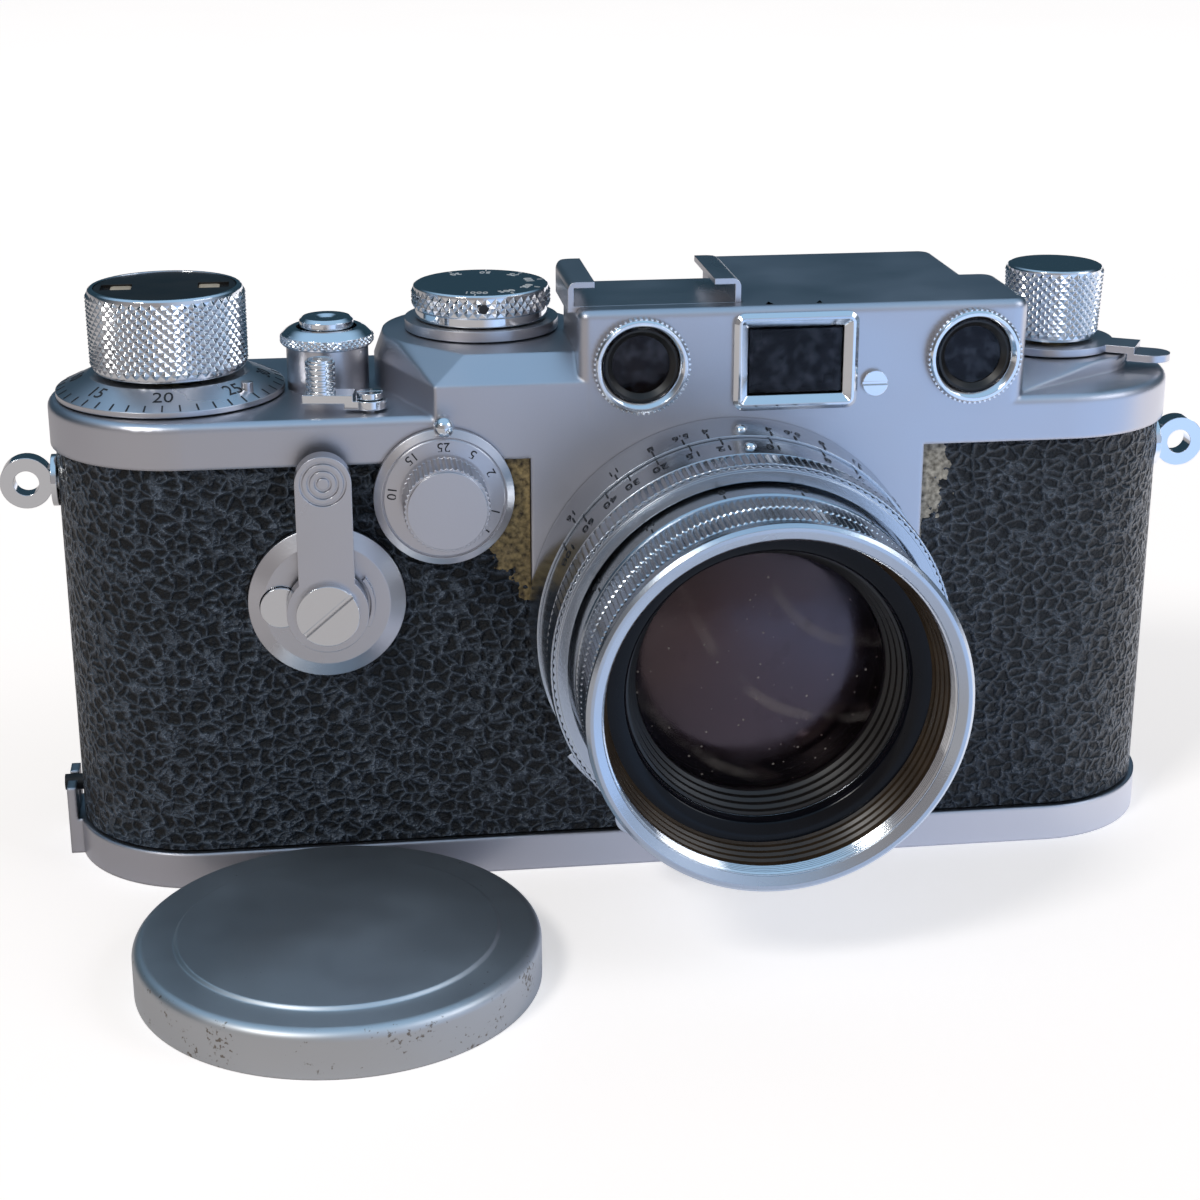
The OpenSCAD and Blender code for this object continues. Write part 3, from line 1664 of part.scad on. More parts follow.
module front_rim() {
    web_f = nose_f + 0.1;
    edge = 0.4;
    lip = 0.6;
    color(polished)
    on_lens() {
        rotate_extrude()
            polygon([
                [name_r + seat_gap, web_f],
                [filter_r + rim_skirt_t, web_f],
                [filter_r + rim_skirt_t, rim_f - rim_t],
                [rim_r - edge / 2, rim_f - rim_t],
                [rim_r, rim_f - rim_t + edge / 2],
                [rim_r, rim_f - edge],
                [rim_r - edge, rim_f],
                [rim_r - 2 * edge, rim_f],
                [filter_r, rim_f - lip],
                [filter_r, filter_f],
                [name_r + seat_gap, filter_f]
            ]);
        ring_between(front_glass_r + 2, filter_r + rim_skirt_t, web_f, web_f + rim_web_t);
    }
}

module name_ring() {
    f = name_f;
    color(black)
    on_lens()
        rotate_extrude()
            polygon([
                [name_r, f],
                [name_r, f + name_t],
                [front_glass_r + 0.2, f + name_t],
                [front_glass_r - name_in, f - name_skirt],
                [front_glass_r - name_in, f - name_skirt - name_lip],
                [front_glass_r - name_lip, f - name_skirt - name_lip],
                [front_glass_r + 0.3, f]
            ]);
}

// A round glass with a domed front
module glass_disc(r, rim_h, dome) {
    ball_r = (r * r + dome * dome) / (2 * dome);
    intersection() {
        cylinder(r = r, h = rim_h + dome);
        translate([0, 0, rim_h + dome - ball_r]) sphere(r = ball_r, $fn = 240);
    }
}

module front_glass() {
    dome = 2.2;
    rim_h = 2.2;
    color(glass)
    on_lens()
        translate([0, 0, nose_f - 1.9 - rim_h - dome]) glass_disc(front_glass_r, rim_h, dome);
}

module rear_glass() {
    color(glass)
    on_lens()
        translate([0, 0, tube_f0]) glass_disc(rear_glass_r, 1.8, 1.2);
}

module iris_blades() {
    blade_t = 0.2;
    split = 0.5;
    color(dark_metal)
    on_lens()
        translate([0, 0, scale_f1 - scale_web - blade_t - 0.05])
            for (i = [1 : iris_blades_n]) {
                rotate([0, 0, i * 360 / iris_blades_n])
                    rotate_extrude(angle = 360 / iris_blades_n - split)
                        translate([iris_r, 0]) square([tube_r - 1.25 - iris_r, blade_t]);
            }
}

// Lens cap

module lens_cap() {
    inner_r = cap_r - cap_t;
    color(satin)
    translate([cap_x, cap_y, 0])
        difference() {
            union() {
                rotate_extrude() rounded_half(cap_r, cap_h - cap_step, cap_edge);
                translate([0, 0, cap_h - 2 * cap_step])
                    cylinder(r1 = cap_step_r + 2 * cap_step, r2 = cap_step_r, h = 2 * cap_step);
            }
            translate([0, 0, -eps]) cylinder(r = inner_r, h = cap_h - cap_t - cap_step + eps);
        }
}

body_shell();
leather_cover();
top_cover();
accessory_shoe();
window_ring_left();
window_ring_right();
window_glasses();
viewfinder_frame();
viewfinder_glass();
eyepiece_rings();
cover_screws();
flash_socket();
strap_lugs();
mount_ring();
shutter_crate();
pressure_plate();
shutter_curtains();
curtain_roller();
rangefinder_prisms();
rangefinder_arm();
self_timer_plate();
slow_dial_pin();
release_collar();
guard_ring();
lens_flange();
wind_knob();
wind_shaft();
takeup_spool();
reminder_disc();
counter_dial();
sprocket();
curtain_drum();
speed_bush();
speed_dial();
flash_ring();
release_button();
release_spring();
rewind_lever();
timer_lever();
timer_screw();
timer_button();
slow_dial();
rewind_shaft();
rewind_knob();
eyesight_lever();
base_plate();
key_hub();
key_ring();
tripod_bush();
lens_carrier();
focus_ring();
focus_lock();
lens_tube();
aperture_ring();
front_rim();
name_ring();
front_glass();
rear_glass();
iris_blades();
lens_cap();
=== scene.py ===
# %% [markdown]
# # A rangefinder camera, dressed for the studio
# The CAD model is the fixed frame: every solid is already at its real size and place, in metres, with
# +Z up and the lens looking along -Y. This lesson gives those solids their finishes, and models what a
# plain solid can't show: diamond knurls, bevelled window frames, engraved scales.

# %% Load the frame
from math import atan2, cos, pi, radians, sin, sqrt

import bmesh
import bpy
from mathutils import Matrix, Vector


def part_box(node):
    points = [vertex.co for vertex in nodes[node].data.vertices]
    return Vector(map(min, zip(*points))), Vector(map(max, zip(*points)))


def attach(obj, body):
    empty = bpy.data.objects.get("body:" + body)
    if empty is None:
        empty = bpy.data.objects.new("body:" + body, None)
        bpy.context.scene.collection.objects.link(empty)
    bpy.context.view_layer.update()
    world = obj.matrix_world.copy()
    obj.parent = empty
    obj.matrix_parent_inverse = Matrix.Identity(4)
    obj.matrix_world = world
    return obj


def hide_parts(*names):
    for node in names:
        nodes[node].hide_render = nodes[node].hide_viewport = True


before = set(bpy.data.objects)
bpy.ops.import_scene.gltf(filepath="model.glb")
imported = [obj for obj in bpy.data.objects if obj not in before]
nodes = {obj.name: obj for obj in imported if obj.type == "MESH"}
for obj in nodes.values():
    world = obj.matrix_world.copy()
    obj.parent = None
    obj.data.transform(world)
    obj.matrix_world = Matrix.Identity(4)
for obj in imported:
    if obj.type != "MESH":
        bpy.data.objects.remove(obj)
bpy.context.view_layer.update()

MM = 0.001

# %% [markdown]
# ## Viewpoint
# The photograph was taken from a little above and slightly left of the lens. The place was solved from
# the drawing: known corners of the covers, knobs and lens against their pixels. From this close the lens
# looms, so the distance matters as much as the angle.

# %% Camera
VIEW_FROM_MM = Vector((-38.32, -272.04, 125.60))
VIEW_TURN = radians(-7.53)
VIEW_DROP = radians(19.42)
VIEW_LENS_MM = 69.64
SENSOR_MM = 36.0
NEAREST = 10 * MM
level = cos(VIEW_DROP)
looking = Vector((-sin(VIEW_TURN) * level, cos(VIEW_TURN) * level, -sin(VIEW_DROP)))
bpy.ops.object.select_all(action="DESELECT")
bpy.ops.object.camera_add(location=VIEW_FROM_MM * MM, rotation=looking.to_track_quat("-Z", "Y").to_euler())
viewpoint = bpy.context.object
viewpoint.name = "viewpoint"
viewpoint.data.sensor_width = SENSOR_MM
viewpoint.data.lens = VIEW_LENS_MM
viewpoint.data.clip_start = NEAREST
bpy.context.scene.camera = viewpoint
bpy.context.scene.view_settings.view_transform = "Standard"
print("camera looks along", [round(v, 3) for v in looking])

# %% [markdown]
# ## Tools for finishes
# A shader is a small circuit, and one function that adds a node, sets its values and links its inputs
# keeps each circuit readable. Colours are written as sRGB hex, as a paint chart gives them, and turned
# to the linear values that the renderer counts in. Patterns are sized in millimetres.

# %% Node and colour helpers
def linear(chart):
    """An sRGB hex colour as linear red, green, blue and alpha."""
    parts = [int(chart[i:i + 2], 16) / 255 for i in (1, 3, 5)]
    return tuple(p / 12.92 if p <= 0.04045 else ((p + 0.055) / 1.055) ** 2.4 for p in parts) + (1.0,)


def add(tree, kind, inputs=None, **settings):
    """One shader node: its settings, then its inputs. Each input is a value, a hex colour, another node's
    socket, or a node, which stands for its first live output."""
    made = tree.nodes.new("ShaderNode" + kind)
    for name, value in settings.items():
        setattr(made, name, value)
    for name, value in (inputs or {}).items():
        if isinstance(value, bpy.types.Node):
            value = next(socket for socket in value.outputs if socket.enabled)
        if isinstance(value, bpy.types.NodeSocket):
            tree.links.new(value, made.inputs[name])
        else:
            made.inputs[name].default_value = linear(value) if isinstance(value, str) else value
    return made


def finish_named(name):
    """A new material, its empty node tree, and the socket that says where a point is on the object."""
    made = bpy.data.materials.new(name)
    made.use_nodes = True
    made.node_tree.nodes.clear()
    return made, made.node_tree, add(made.node_tree, "TexCoord").outputs["Object"]


def per_mm(size):
    """The pattern scale that gives features of this many millimetres."""
    return 1.0 / (size * MM)


print("white card is", [round(v, 3) for v in linear("#F2F2F0")])

# %% [markdown]
# ## Floor
# A sheet of pale card, big enough that its edge is never seen, takes the soft shadow. Metal mirrors it
# in every upright face, so what the metal sees of it matters as much as what the eye sees: a greyer
# card with a painted reflection on it, warm and dark on the left and painted with the blue light of a
# window on the right.

# %% Floor
FLOOR_SIZE = 8.0
FLOOR_DROP = 0.05 * MM
bpy.ops.object.select_all(action="DESELECT")
bpy.ops.mesh.primitive_plane_add(size=FLOOR_SIZE, location=(0, 0, -FLOOR_DROP))
floor = bpy.context.object
floor.name = "card_floor"
# Matt card: no gloss at all, and a little glow, so that it reads as white paper with a soft shadow.
card, tree, where = finish_named("matt_card")
mottle = add(tree, "TexNoise", {"Vector": where, "Scale": per_mm(90), "Detail": 2.0})
tone = add(tree, "Mix", {"Factor": mottle, 6: "#EDEAEC", 7: "#F4F2F3"}, data_type="RGBA")
axes = add(tree, "SeparateXYZ", {"Vector": where}).outputs
# Painted reflection: the glow that the metal sees is painted warm and dark on the left and window-blue on
# the right.
side = add(tree, "MapRange", {"Value": axes["X"], "From Min": -30 * MM, "From Max": 90 * MM})
painted_window_light = add(tree, "Mix", {"Factor": side, 6: "#372D28", 7: "#7CBAFD"}, data_type="RGBA")
# Close to the camera's right foot the card carries a painted pool of light, and the base plate mirrors it
# there.
close = add(tree, "MapRange", {"Value": axes["Y"], "From Min": -75 * MM, "From Max": -30 * MM})
foot = add(tree, "Math", {0: close, 1: side}, operation="MULTIPLY")
painted_reflection_tone = add(tree, "Mix", {"Factor": foot, 6: painted_window_light, 7: "#F4F4FA"}, data_type="RGBA")
# The lamps fade towards the back, so the glow makes up for them there.
far = add(tree, "MapRange", {"Value": axes["Y"], "From Min": -100 * MM, "From Max": 700 * MM})
paper = add(tree, "Mix", {"Factor": far, 6: "#B8B7B6", 7: "#D6D5D4"}, data_type="RGBA")
ray = add(tree, "LightPath").outputs
shown = add(tree, "Mix", {"Factor": ray["Is Camera Ray"], 6: painted_reflection_tone, 7: paper}, data_type="RGBA")
looked_at = add(tree, "Math", {0: ray["Is Camera Ray"], 1: ray["Is Glossy Ray"]}, operation="MAXIMUM")
shader = add(tree, "BsdfPrincipled", {"Base Color": tone, "Roughness": 0.9, "Specular IOR Level": 0.1,
                                      "Emission Color": shown, "Emission Strength": looked_at})
add(tree, "OutputMaterial", {"Surface": shader})
# The glow is for what looks at the card; it is no lamp.
card.cycles.emission_sampling = "NONE"
floor.data.materials.append(card)
print("floor covers", floor.dimensions.x, "m")

# %% [markdown]
# ## Room and lamps
# Polished metal is drawn by its surroundings. The room behind is dim and blue-green, which darkens the
# top faces; a skylight overhead puts pale blue into every chamfer that tips upwards; and the front of the
# room runs from a warm grey wall to a bright window. A small key lamp leaves sparks on the knurls and on
# the pebbles of the covering.

# %% World
room = bpy.data.worlds.new("studio_room")
bpy.context.scene.world = room
room.use_nodes = True
tree = room.node_tree
tree.nodes.clear()
axes = add(tree, "SeparateXYZ", {"Vector": add(tree, "TexCoord").outputs["Generated"]}).outputs
side = add(tree, "MapRange", {"Value": axes["X"], "From Min": -0.15, "From Max": 0.5})
front_wall = add(tree, "Mix", {"Factor": side, 6: "#A9A3A2", 7: "#D2E4FF"}, data_type="RGBA")
depth = add(tree, "MapRange", {"Value": axes["Y"], "From Min": -0.75, "From Max": 0.3, "To Min": 1.0,
                               "To Max": 0.0}, interpolation_type="SMOOTHSTEP")
walls = add(tree, "Mix", {"Factor": depth, 6: "#2F4654", 7: front_wall}, data_type="RGBA")
overhead = add(tree, "MapRange", {"Value": axes["Z"], "From Min": 0.45, "From Max": 0.87},
               interpolation_type="SMOOTHSTEP")
seen = add(tree, "Mix", {"Factor": overhead, 6: walls, 7: "#B4DCFF"}, data_type="RGBA")
# Matt surfaces are lit by the room's plain average, so that white card stays white.
ray = add(tree, "LightPath").outputs
light = add(tree, "Mix", {"Factor": ray["Is Glossy Ray"], 6: "#939393", 7: seen}, data_type="RGBA")
# To the eye the room is one more sheet of white card.
shown = add(tree, "Mix", {"Factor": ray["Is Camera Ray"], 6: light, 7: "#F6F6F6"}, data_type="RGBA")
add(tree, "OutputWorld", {"Surface": add(tree, "Background", {"Color": shown})})
room.cycles.sampling_method = "NONE"
print("room", room.name)

# %% Lamps
# Both lamps look at the middle of the camera. Their places are in metres.
AIM = Vector((0.0, -0.01, 0.04))


def soft_lamp(name, at, size, watts, tint):
    """A square soft box."""
    turn = (AIM - Vector(at)).to_track_quat("-Z", "Y").to_euler()
    bpy.ops.object.select_all(action="DESELECT")
    bpy.ops.object.light_add(type="AREA", location=at, rotation=turn)
    lamp = bpy.context.object
    lamp.name = name
    lamp.data.size = size
    lamp.data.energy = watts
    lamp.data.color = linear(tint)[:3]


soft_lamp("key_box", (-0.75, -0.75, 1.05), 0.34, 7.0, "#FFFCF6")
soft_lamp("fill_box", (0.95, -0.45, 0.75), 0.6, 3.0, "#F6F9FF")

# %% [markdown]
# ## Satin chrome
# The covers are brass, blasted with fine grit and then chrome plated. The grit leaves a soft, wide
# highlight, and years of handling leave faint clouds where the plating is smoother. Pressed edges are
# rounded by a few tenths of a millimetre, and the Bevel node rounds the shading there, so that every
# edge catches a bright line.

# %% Satin chrome
def satin(name, rounding, smooth, rough, tones):
    """Blasted plating: edges rounded by so many mm, from its smoothest to its roughest, in two tones."""
    made, tree, where = finish_named(name)
    # 0.3 mm grit is coarser than the real blasting, so that it shows at this size.
    grit = add(tree, "TexNoise", {"Vector": where, "Scale": per_mm(0.3), "Detail": 2.0})
    cloud = add(tree, "TexNoise", {"Vector": where, "Scale": per_mm(16), "Detail": 3.0})
    gloss = add(tree, "MapRange", {"Value": cloud, "From Min": 0.3, "From Max": 0.7, "To Min": smooth,
                                   "To Max": rough})
    tone = add(tree, "Mix", {"Factor": cloud, 6: tones[0], 7: tones[1]}, data_type="RGBA")
    edge = add(tree, "Bevel", {"Radius": rounding * MM}, samples=6)
    relief = add(tree, "Bump", {"Height": grit, "Strength": 0.3, "Distance": 0.02 * MM, "Normal": edge})
    shader = add(tree, "BsdfPrincipled", {"Base Color": tone, "Metallic": 1.0, "Roughness": gloss,
                                          "Normal": relief})
    add(tree, "OutputMaterial", {"Surface": shader})
    print("finish", made.name)
    return made


# The covers: pressed sheet with soft edges. The small parts: milled, with crisp ones. The lens: the same
# plating, rubbed smoother by fingers.
cover_chrome = satin("satin_chrome_cover", 0.6, 0.30, 0.40, ("#B2B5BC", "#BDBABF"))
satin_chrome = satin("satin_chrome_plate", 0.15, 0.26, 0.36, ("#B8BABF", "#C2BFC3"))
lens_chrome = satin("satin_chrome_lens", 0.15, 0.18, 0.28, ("#B4BCC6", "#BEC2C8"))

# %% [markdown]
# ## Bright chrome
# Knobs, rings and screws are plated without the blasting, so they mirror the room, and rub marks break
# the mirror up a little. The cap is plated too, but it has been carried loose for years.

# %% Bright chrome
bright_chrome, tree, where = finish_named("bright_chrome_plate")
rub = add(tree, "TexNoise", {"Vector": where, "Scale": per_mm(2.5), "Detail": 4.0})
gloss = add(tree, "MapRange", {"Value": rub, "From Min": 0.3, "From Max": 0.7, "To Min": 0.06,
                               "To Max": 0.14})
edge = add(tree, "Bevel", {"Radius": 0.15 * MM}, samples=6)
shader = add(tree, "BsdfPrincipled", {"Base Color": "#D6D8DB", "Metallic": 1.0, "Roughness": gloss,
                                      "Normal": edge})
add(tree, "OutputMaterial", {"Surface": shader})
print("finish", bright_chrome.name)

# %% Cap chrome
# Dulled all over, with clusters of brown pits on its side, below the rounding of its top.
cap_chrome, tree, where = finish_named("pitted_chrome_plate")
pits = add(tree, "TexNoise", {"Vector": where, "Scale": per_mm(0.5), "Detail": 4.0})
cluster = add(tree, "TexNoise", {"Vector": where, "Scale": per_mm(6), "Detail": 1.0})
height = add(tree, "SeparateXYZ", {"Vector": where}).outputs["Z"]
low = add(tree, "MapRange", {"Value": height, "From Min": 4.6 * MM, "From Max": 5.8 * MM, "To Min": 0.24,
                             "To Max": 0.0})
near = add(tree, "MapRange", {"Value": cluster, "From Min": 0.45, "From Max": 0.65, "To Max": 0.9})
chance = add(tree, "Math", {0: low, 1: near}, operation="MULTIPLY")
eaten = add(tree, "Math", {0: pits, 1: chance}, operation="ADD")
spots = add(tree, "MapRange", {"Value": eaten, "From Min": 0.73, "From Max": 0.82})
cloud = add(tree, "TexNoise", {"Vector": where, "Scale": per_mm(12), "Detail": 3.0})
gloss = add(tree, "MapRange", {"Value": cloud, "From Min": 0.3, "From Max": 0.7, "To Min": 0.40,
                               "To Max": 0.48})
tone = add(tree, "Mix", {"Factor": spots, 6: "#BFC1C3", 7: "#827B73"}, data_type="RGBA")
edge = add(tree, "Bevel", {"Radius": 0.3 * MM}, samples=6)
relief = add(tree, "Bump", {"Height": spots, "Strength": 0.3, "Distance": -0.05 * MM, "Normal": edge})
shader = add(tree, "BsdfPrincipled", {"Base Color": tone, "Metallic": 1.0, "Roughness": gloss,
                                      "Normal": relief})
add(tree, "OutputMaterial", {"Surface": shader})
print("finish", cap_chrome.name)

# %% [markdown]
# ## Pebbled covering
# The covering is hard black rubber on cloth, embossed as leather: a web of raised, rounded ridges round
# dark pits about 1.4 mm wide. A Voronoi pattern's distance to its cell edges gives that web, once the
# cells are bent by a little noise. Beside the apron the covering has flaked off, and stained metal shows,
# so two wedges are masked by their place in millimetres.

# %% Pebbled covering
covering, tree, where = finish_named("pebbled_rubber_covering")
# The grain runs along the camera, so the pits are drawn out by a quarter that way.
grain = add(tree, "Mapping", {"Vector": where, "Scale": (0.8, 1.0, 1.0)})
bend = add(tree, "TexNoise", {"Vector": grain, "Scale": per_mm(1.5), "Detail": 3.0})
shift = add(tree, "VectorMath", {0: bend.outputs["Color"], 1: (0.5, 0.5, 0.5)}, operation="SUBTRACT")
reach = add(tree, "VectorMath", {0: shift, "Scale": 1.6 * MM}, operation="SCALE")
spot = add(tree, "VectorMath", {0: grain, 1: reach}, operation="ADD")
web = add(tree, "TexVoronoi", {"Vector": spot, "Scale": per_mm(1.35)}, feature="DISTANCE_TO_EDGE")
ridge = add(tree, "MapRange", {"Value": web, "From Max": 0.27, "To Min": 1.0, "To Max": 0.0},
            interpolation_type="SMOOTHSTEP")
# The ridges rise and sink along their way, so the web is broken here and there.
swell = add(tree, "TexNoise", {"Vector": where, "Scale": per_mm(1.2), "Detail": 2.0})
lift = add(tree, "MapRange", {"Value": swell, "From Min": 0.35, "From Max": 0.6, "To Min": 0.4})
grown = add(tree, "Math", {0: ridge, 1: lift}, operation="MULTIPLY")
wrinkle = add(tree, "TexNoise", {"Vector": where, "Scale": per_mm(0.7), "Detail": 4.0})
height = add(tree, "Math", {0: wrinkle, 1: 0.5, 2: grown}, operation="MULTIPLY_ADD")
# The ridges are painted pale blue-grey: partly wear on them, partly a painted highlight of the sky; the pits
# stay near black.
black = add(tree, "Mix", {"Factor": grown, 6: "#05070A", 7: "#5E6978"}, data_type="RGBA")
gloss = add(tree, "MapRange", {"Value": grown, "To Min": 0.5, "To Max": 0.18})

# %% Flaked wedges
axes = add(tree, "SeparateXYZ", {"Vector": where}).outputs
ragged = add(tree, "TexNoise", {"Vector": where, "Scale": per_mm(1.6), "Detail": 4.0})
fray = add(tree, "MapRange", {"Value": ragged, "From Min": 0.3, "From Max": 0.7, "To Min": -1.5 * MM,
                              "To Max": 1.5 * MM})


def wedge(heights, widths, edge, away, side):
    """Bare from an edge outwards: its widths in mm at two heights, kept to its own side of the camera."""
    wide = add(tree, "MapRange", {"Value": axes["Z"], "From Min": heights[0] * MM,
                                  "From Max": heights[1] * MM, "To Min": widths[0] * MM,
                                  "To Max": widths[1] * MM})
    out = add(tree, "MapRange", {"Value": axes["X"], "From Min": edge * MM, "From Max": (edge + away) * MM,
                                 "To Max": abs(away) * MM})
    frayed = add(tree, "Math", {0: out, 1: fray}, operation="ADD")
    inside = add(tree, "Math", {0: wide, 1: frayed}, operation="GREATER_THAN")
    return add(tree, "Math", {0: inside, 1: side}, operation="MULTIPLY")


# The left wedge is widest beside the slow-speed dial, the right one under the top cover.
left_side = add(tree, "Math", {0: axes["X"], 1: 0.0}, operation="LESS_THAN")
right_side = add(tree, "Math", {0: axes["X"], 1: 30 * MM}, operation="GREATER_THAN")
left = wedge((32.5, 41), (-2, 5.5), -12.4, -10, left_side)
right = wedge((38.5, 45), (-1.7, 2.8), 33.8, 10, right_side)
flaked = add(tree, "Math", {0: left, 1: right}, operation="MAXIMUM")
front = add(tree, "Math", {0: axes["Y"], 1: -10 * MM}, operation="LESS_THAN")
bare = add(tree, "Math", {0: flaked, 1: front}, operation="MULTIPLY")
# Golden brown glue is left on the left, greyer metal on the right.
blot = add(tree, "TexNoise", {"Vector": where, "Scale": per_mm(0.7), "Detail": 5.0})
stain = add(tree, "MapRange", {"Value": blot, "From Min": 0.32, "From Max": 0.68})
glue = add(tree, "Mix", {"Factor": stain, 6: "#33291B", 7: "#B39D6E"}, data_type="RGBA")
metal = add(tree, "Mix", {"Factor": stain, 6: "#544F45", 7: "#C9C4B8"}, data_type="RGBA")
stained = add(tree, "Mix", {"Factor": right_side, 6: glue, 7: metal}, data_type="RGBA")
tone = add(tree, "Mix", {"Factor": bare, 6: black, 7: stained}, data_type="RGBA")
covered = add(tree, "Math", {0: 1.0, 1: bare}, operation="SUBTRACT")
embossed = add(tree, "Math", {0: height, 1: covered}, operation="MULTIPLY")
relief = add(tree, "Bump", {"Height": embossed, "Distance": 1.3 * MM})
shader = add(tree, "BsdfPrincipled", {"Base Color": tone, "Roughness": gloss, "Normal": relief,
                                      "Specular IOR Level": 0.3})
add(tree, "OutputMaterial", {"Surface": shader})
print("finish", covering.name, "with", len(tree.nodes), "nodes")

# %% [markdown]
# ## Dark finishes and brass
# Rings inside the lens are black enamel over brass, a little brown where it has aged. The moving shafts
# are bare turned brass, the inside of the body is blackened alloy, and the shutter's curtains are
# rubberised cloth with a fine weave. Plain finishes share one recipe: two tones that drift into each
# other over patches of a few millimetres, with a gloss that may drift along.

# %% Plain finishes
def aged(name, patch, detail, tones, rough, rounding=0, shine=None):
    """A finish in two tones that drift over patches of so many mm. Its roughness is one value, or two to
    drift between; its edges may be rounded by so many mm; shine is for other values of the shader."""
    made, tree, where = finish_named(name)
    drift = add(tree, "TexNoise", {"Vector": where, "Scale": per_mm(patch), "Detail": detail})
    tone = add(tree, "Mix", {"Factor": drift, 6: tones[0], 7: tones[1]}, data_type="RGBA")
    if isinstance(rough, tuple):
        rough = add(tree, "MapRange", {"Value": drift, "To Min": rough[0], "To Max": rough[1]})
    inputs = {"Base Color": tone, "Roughness": rough, **(shine or {})}
    if rounding:
        inputs["Normal"] = add(tree, "Bevel", {"Radius": rounding * MM}, samples=4)
    add(tree, "OutputMaterial", {"Surface": add(tree, "BsdfPrincipled", inputs)})
    print("finish", name)
    return made


# Enamel baked on brass: nearly black and half glossy, browner and duller in patches.
black_enamel = aged("black_enamel", 3, 4.0, ("#0B0B0C", "#1C1814"), (0.25, 0.5), rounding=0.12)
# Brass from the lathe: a warm gleam, dulled where it has tarnished.
turned_brass = aged("turned_brass", 4, 4.0, ("#B8924A", "#D9BC7C"), (0.2, 0.45), shine={"Metallic": 1.0})

# %% Blackened alloy
# Cast and then blackened: a dim, grainy look, half way to metal.
dark_alloy, tree, where = finish_named("blackened_alloy")
cast = add(tree, "TexNoise", {"Vector": where, "Scale": per_mm(0.8), "Detail": 3.0})
tone = add(tree, "Mix", {"Factor": cast, 6: "#1A1B1D", 7: "#333538"}, data_type="RGBA")
relief = add(tree, "Bump", {"Height": cast, "Strength": 0.2, "Distance": 0.05 * MM})
shader = add(tree, "BsdfPrincipled", {"Base Color": tone, "Metallic": 0.6, "Roughness": 0.6,
                                      "Normal": relief})
add(tree, "OutputMaterial", {"Surface": shader})
print("finish", dark_alloy.name)

# %% Rubberised cloth
# Woven and coated: dull black, with a little dust. A 0.4 mm thread is coarser than the real cloth, so
# that the weave shows.
curtain_cloth, tree, where = finish_named("rubberised_cloth")
weave = add(tree, "TexChecker", {"Vector": where, "Scale": per_mm(0.4)}).outputs["Fac"]
relief = add(tree, "Bump", {"Height": weave, "Strength": 0.3, "Distance": 0.05 * MM})
dust = add(tree, "TexNoise", {"Vector": where, "Scale": per_mm(5), "Detail": 3.0})
tone = add(tree, "Mix", {"Factor": dust, 6: "#101012", 7: "#26262A"}, data_type="RGBA")
shader = add(tree, "BsdfPrincipled", {"Base Color": tone, "Roughness": 0.85, "Normal": relief})
add(tree, "OutputMaterial", {"Surface": shader})
print("finish", curtain_cloth.name)

# %% [markdown]
# ## Glass
# The front glass is coated, so it throws back a violet sheen over the dark barrel behind it, with the
# haze and wipe marks of an old lens. The window panes are plain glass in front of dark tubes. Each is
# thin here, so it is drawn as a clear skin with a share of mirror.

# %% Coated lens glass
lens_glass, tree, where = finish_named("coated_lens_glass")
clear = add(tree, "BsdfTransparent", {"Color": "#C9C0C3"})
haze = add(tree, "TexNoise", {"Vector": where, "Scale": per_mm(6), "Detail": 5.0})
wipe = add(tree, "MapRange", {"Value": haze, "From Min": 0.4, "From Max": 0.7, "To Min": 0.1, "To Max": 0.3})
sheen = add(tree, "BsdfGlossy", {"Color": "#A8969C", "Roughness": wipe})
# Only the outer face mirrors the room; the flat back, met from inside, lets the light through.
inner = add(tree, "NewGeometry").outputs["Backfacing"]
mirror = add(tree, "MapRange", {"Value": inner, "To Min": 0.17, "To Max": 0.0})
skin = add(tree, "MixShader", {0: mirror, 1: clear, 2: sheen})
# Old wipe marks are arcs about a point outside the glass: rings of a wave, broken up by the haze.
swing = add(tree, "Mapping", {"Vector": where, "Location": (-24 * MM, 0, -50 * MM)})
arcs = add(tree, "TexWave", {"Vector": swing, "Scale": per_mm(30), "Distortion": 1.5, "Detail": 3.0},
           wave_type="RINGS", rings_direction="Y").outputs["Fac"]
thin = add(tree, "MapRange", {"Value": arcs, "From Min": 0.93, "To Max": 0.16})
patchy = add(tree, "MapRange", {"Value": haze, "From Min": 0.45, "From Max": 0.6})
smear = add(tree, "Math", {0: thin, 1: patchy}, operation="MULTIPLY")
# The dust is specks up to 0.35 mm across, one to each 1.6 mm cell.
speck = add(tree, "TexVoronoi", {"Vector": where, "Scale": per_mm(1.6)})
near = add(tree, "MapRange", {"Value": speck, "From Min": 0.06, "From Max": 0.11, "To Min": 0.5,
                              "To Max": 0.0})
dirt = add(tree, "Math", {0: near, 1: smear}, operation="MAXIMUM")
dust = add(tree, "BsdfDiffuse", {"Color": "#B9B2AE"})
add(tree, "OutputMaterial", {"Surface": add(tree, "MixShader", {0: dirt, 1: skin, 2: dust})})
print("finish", lens_glass.name)

# %% Window glass
# Most of the pane is clean and dark; grease throws back more of the room.
window_glass, tree, where = finish_named("window_glass")
clear = add(tree, "BsdfTransparent", {"Color": "#B4B2B6"})
grease = add(tree, "TexNoise", {"Vector": where, "Scale": per_mm(1.5), "Detail": 4.0})
wipe = add(tree, "MapRange", {"Value": grease, "From Min": 0.45, "From Max": 0.7, "To Min": 0.02,
                              "To Max": 0.2})
sheen = add(tree, "BsdfGlossy", {"Color": "#E4E2E8", "Roughness": wipe})
film = add(tree, "MapRange", {"Value": grease, "From Min": 0.45, "From Max": 0.75, "To Min": 0.015,
                              "To Max": 0.05})
add(tree, "OutputMaterial", {"Surface": add(tree, "MixShader", {0: film, 1: clear, 2: sheen})})
print("finish", window_glass.name)

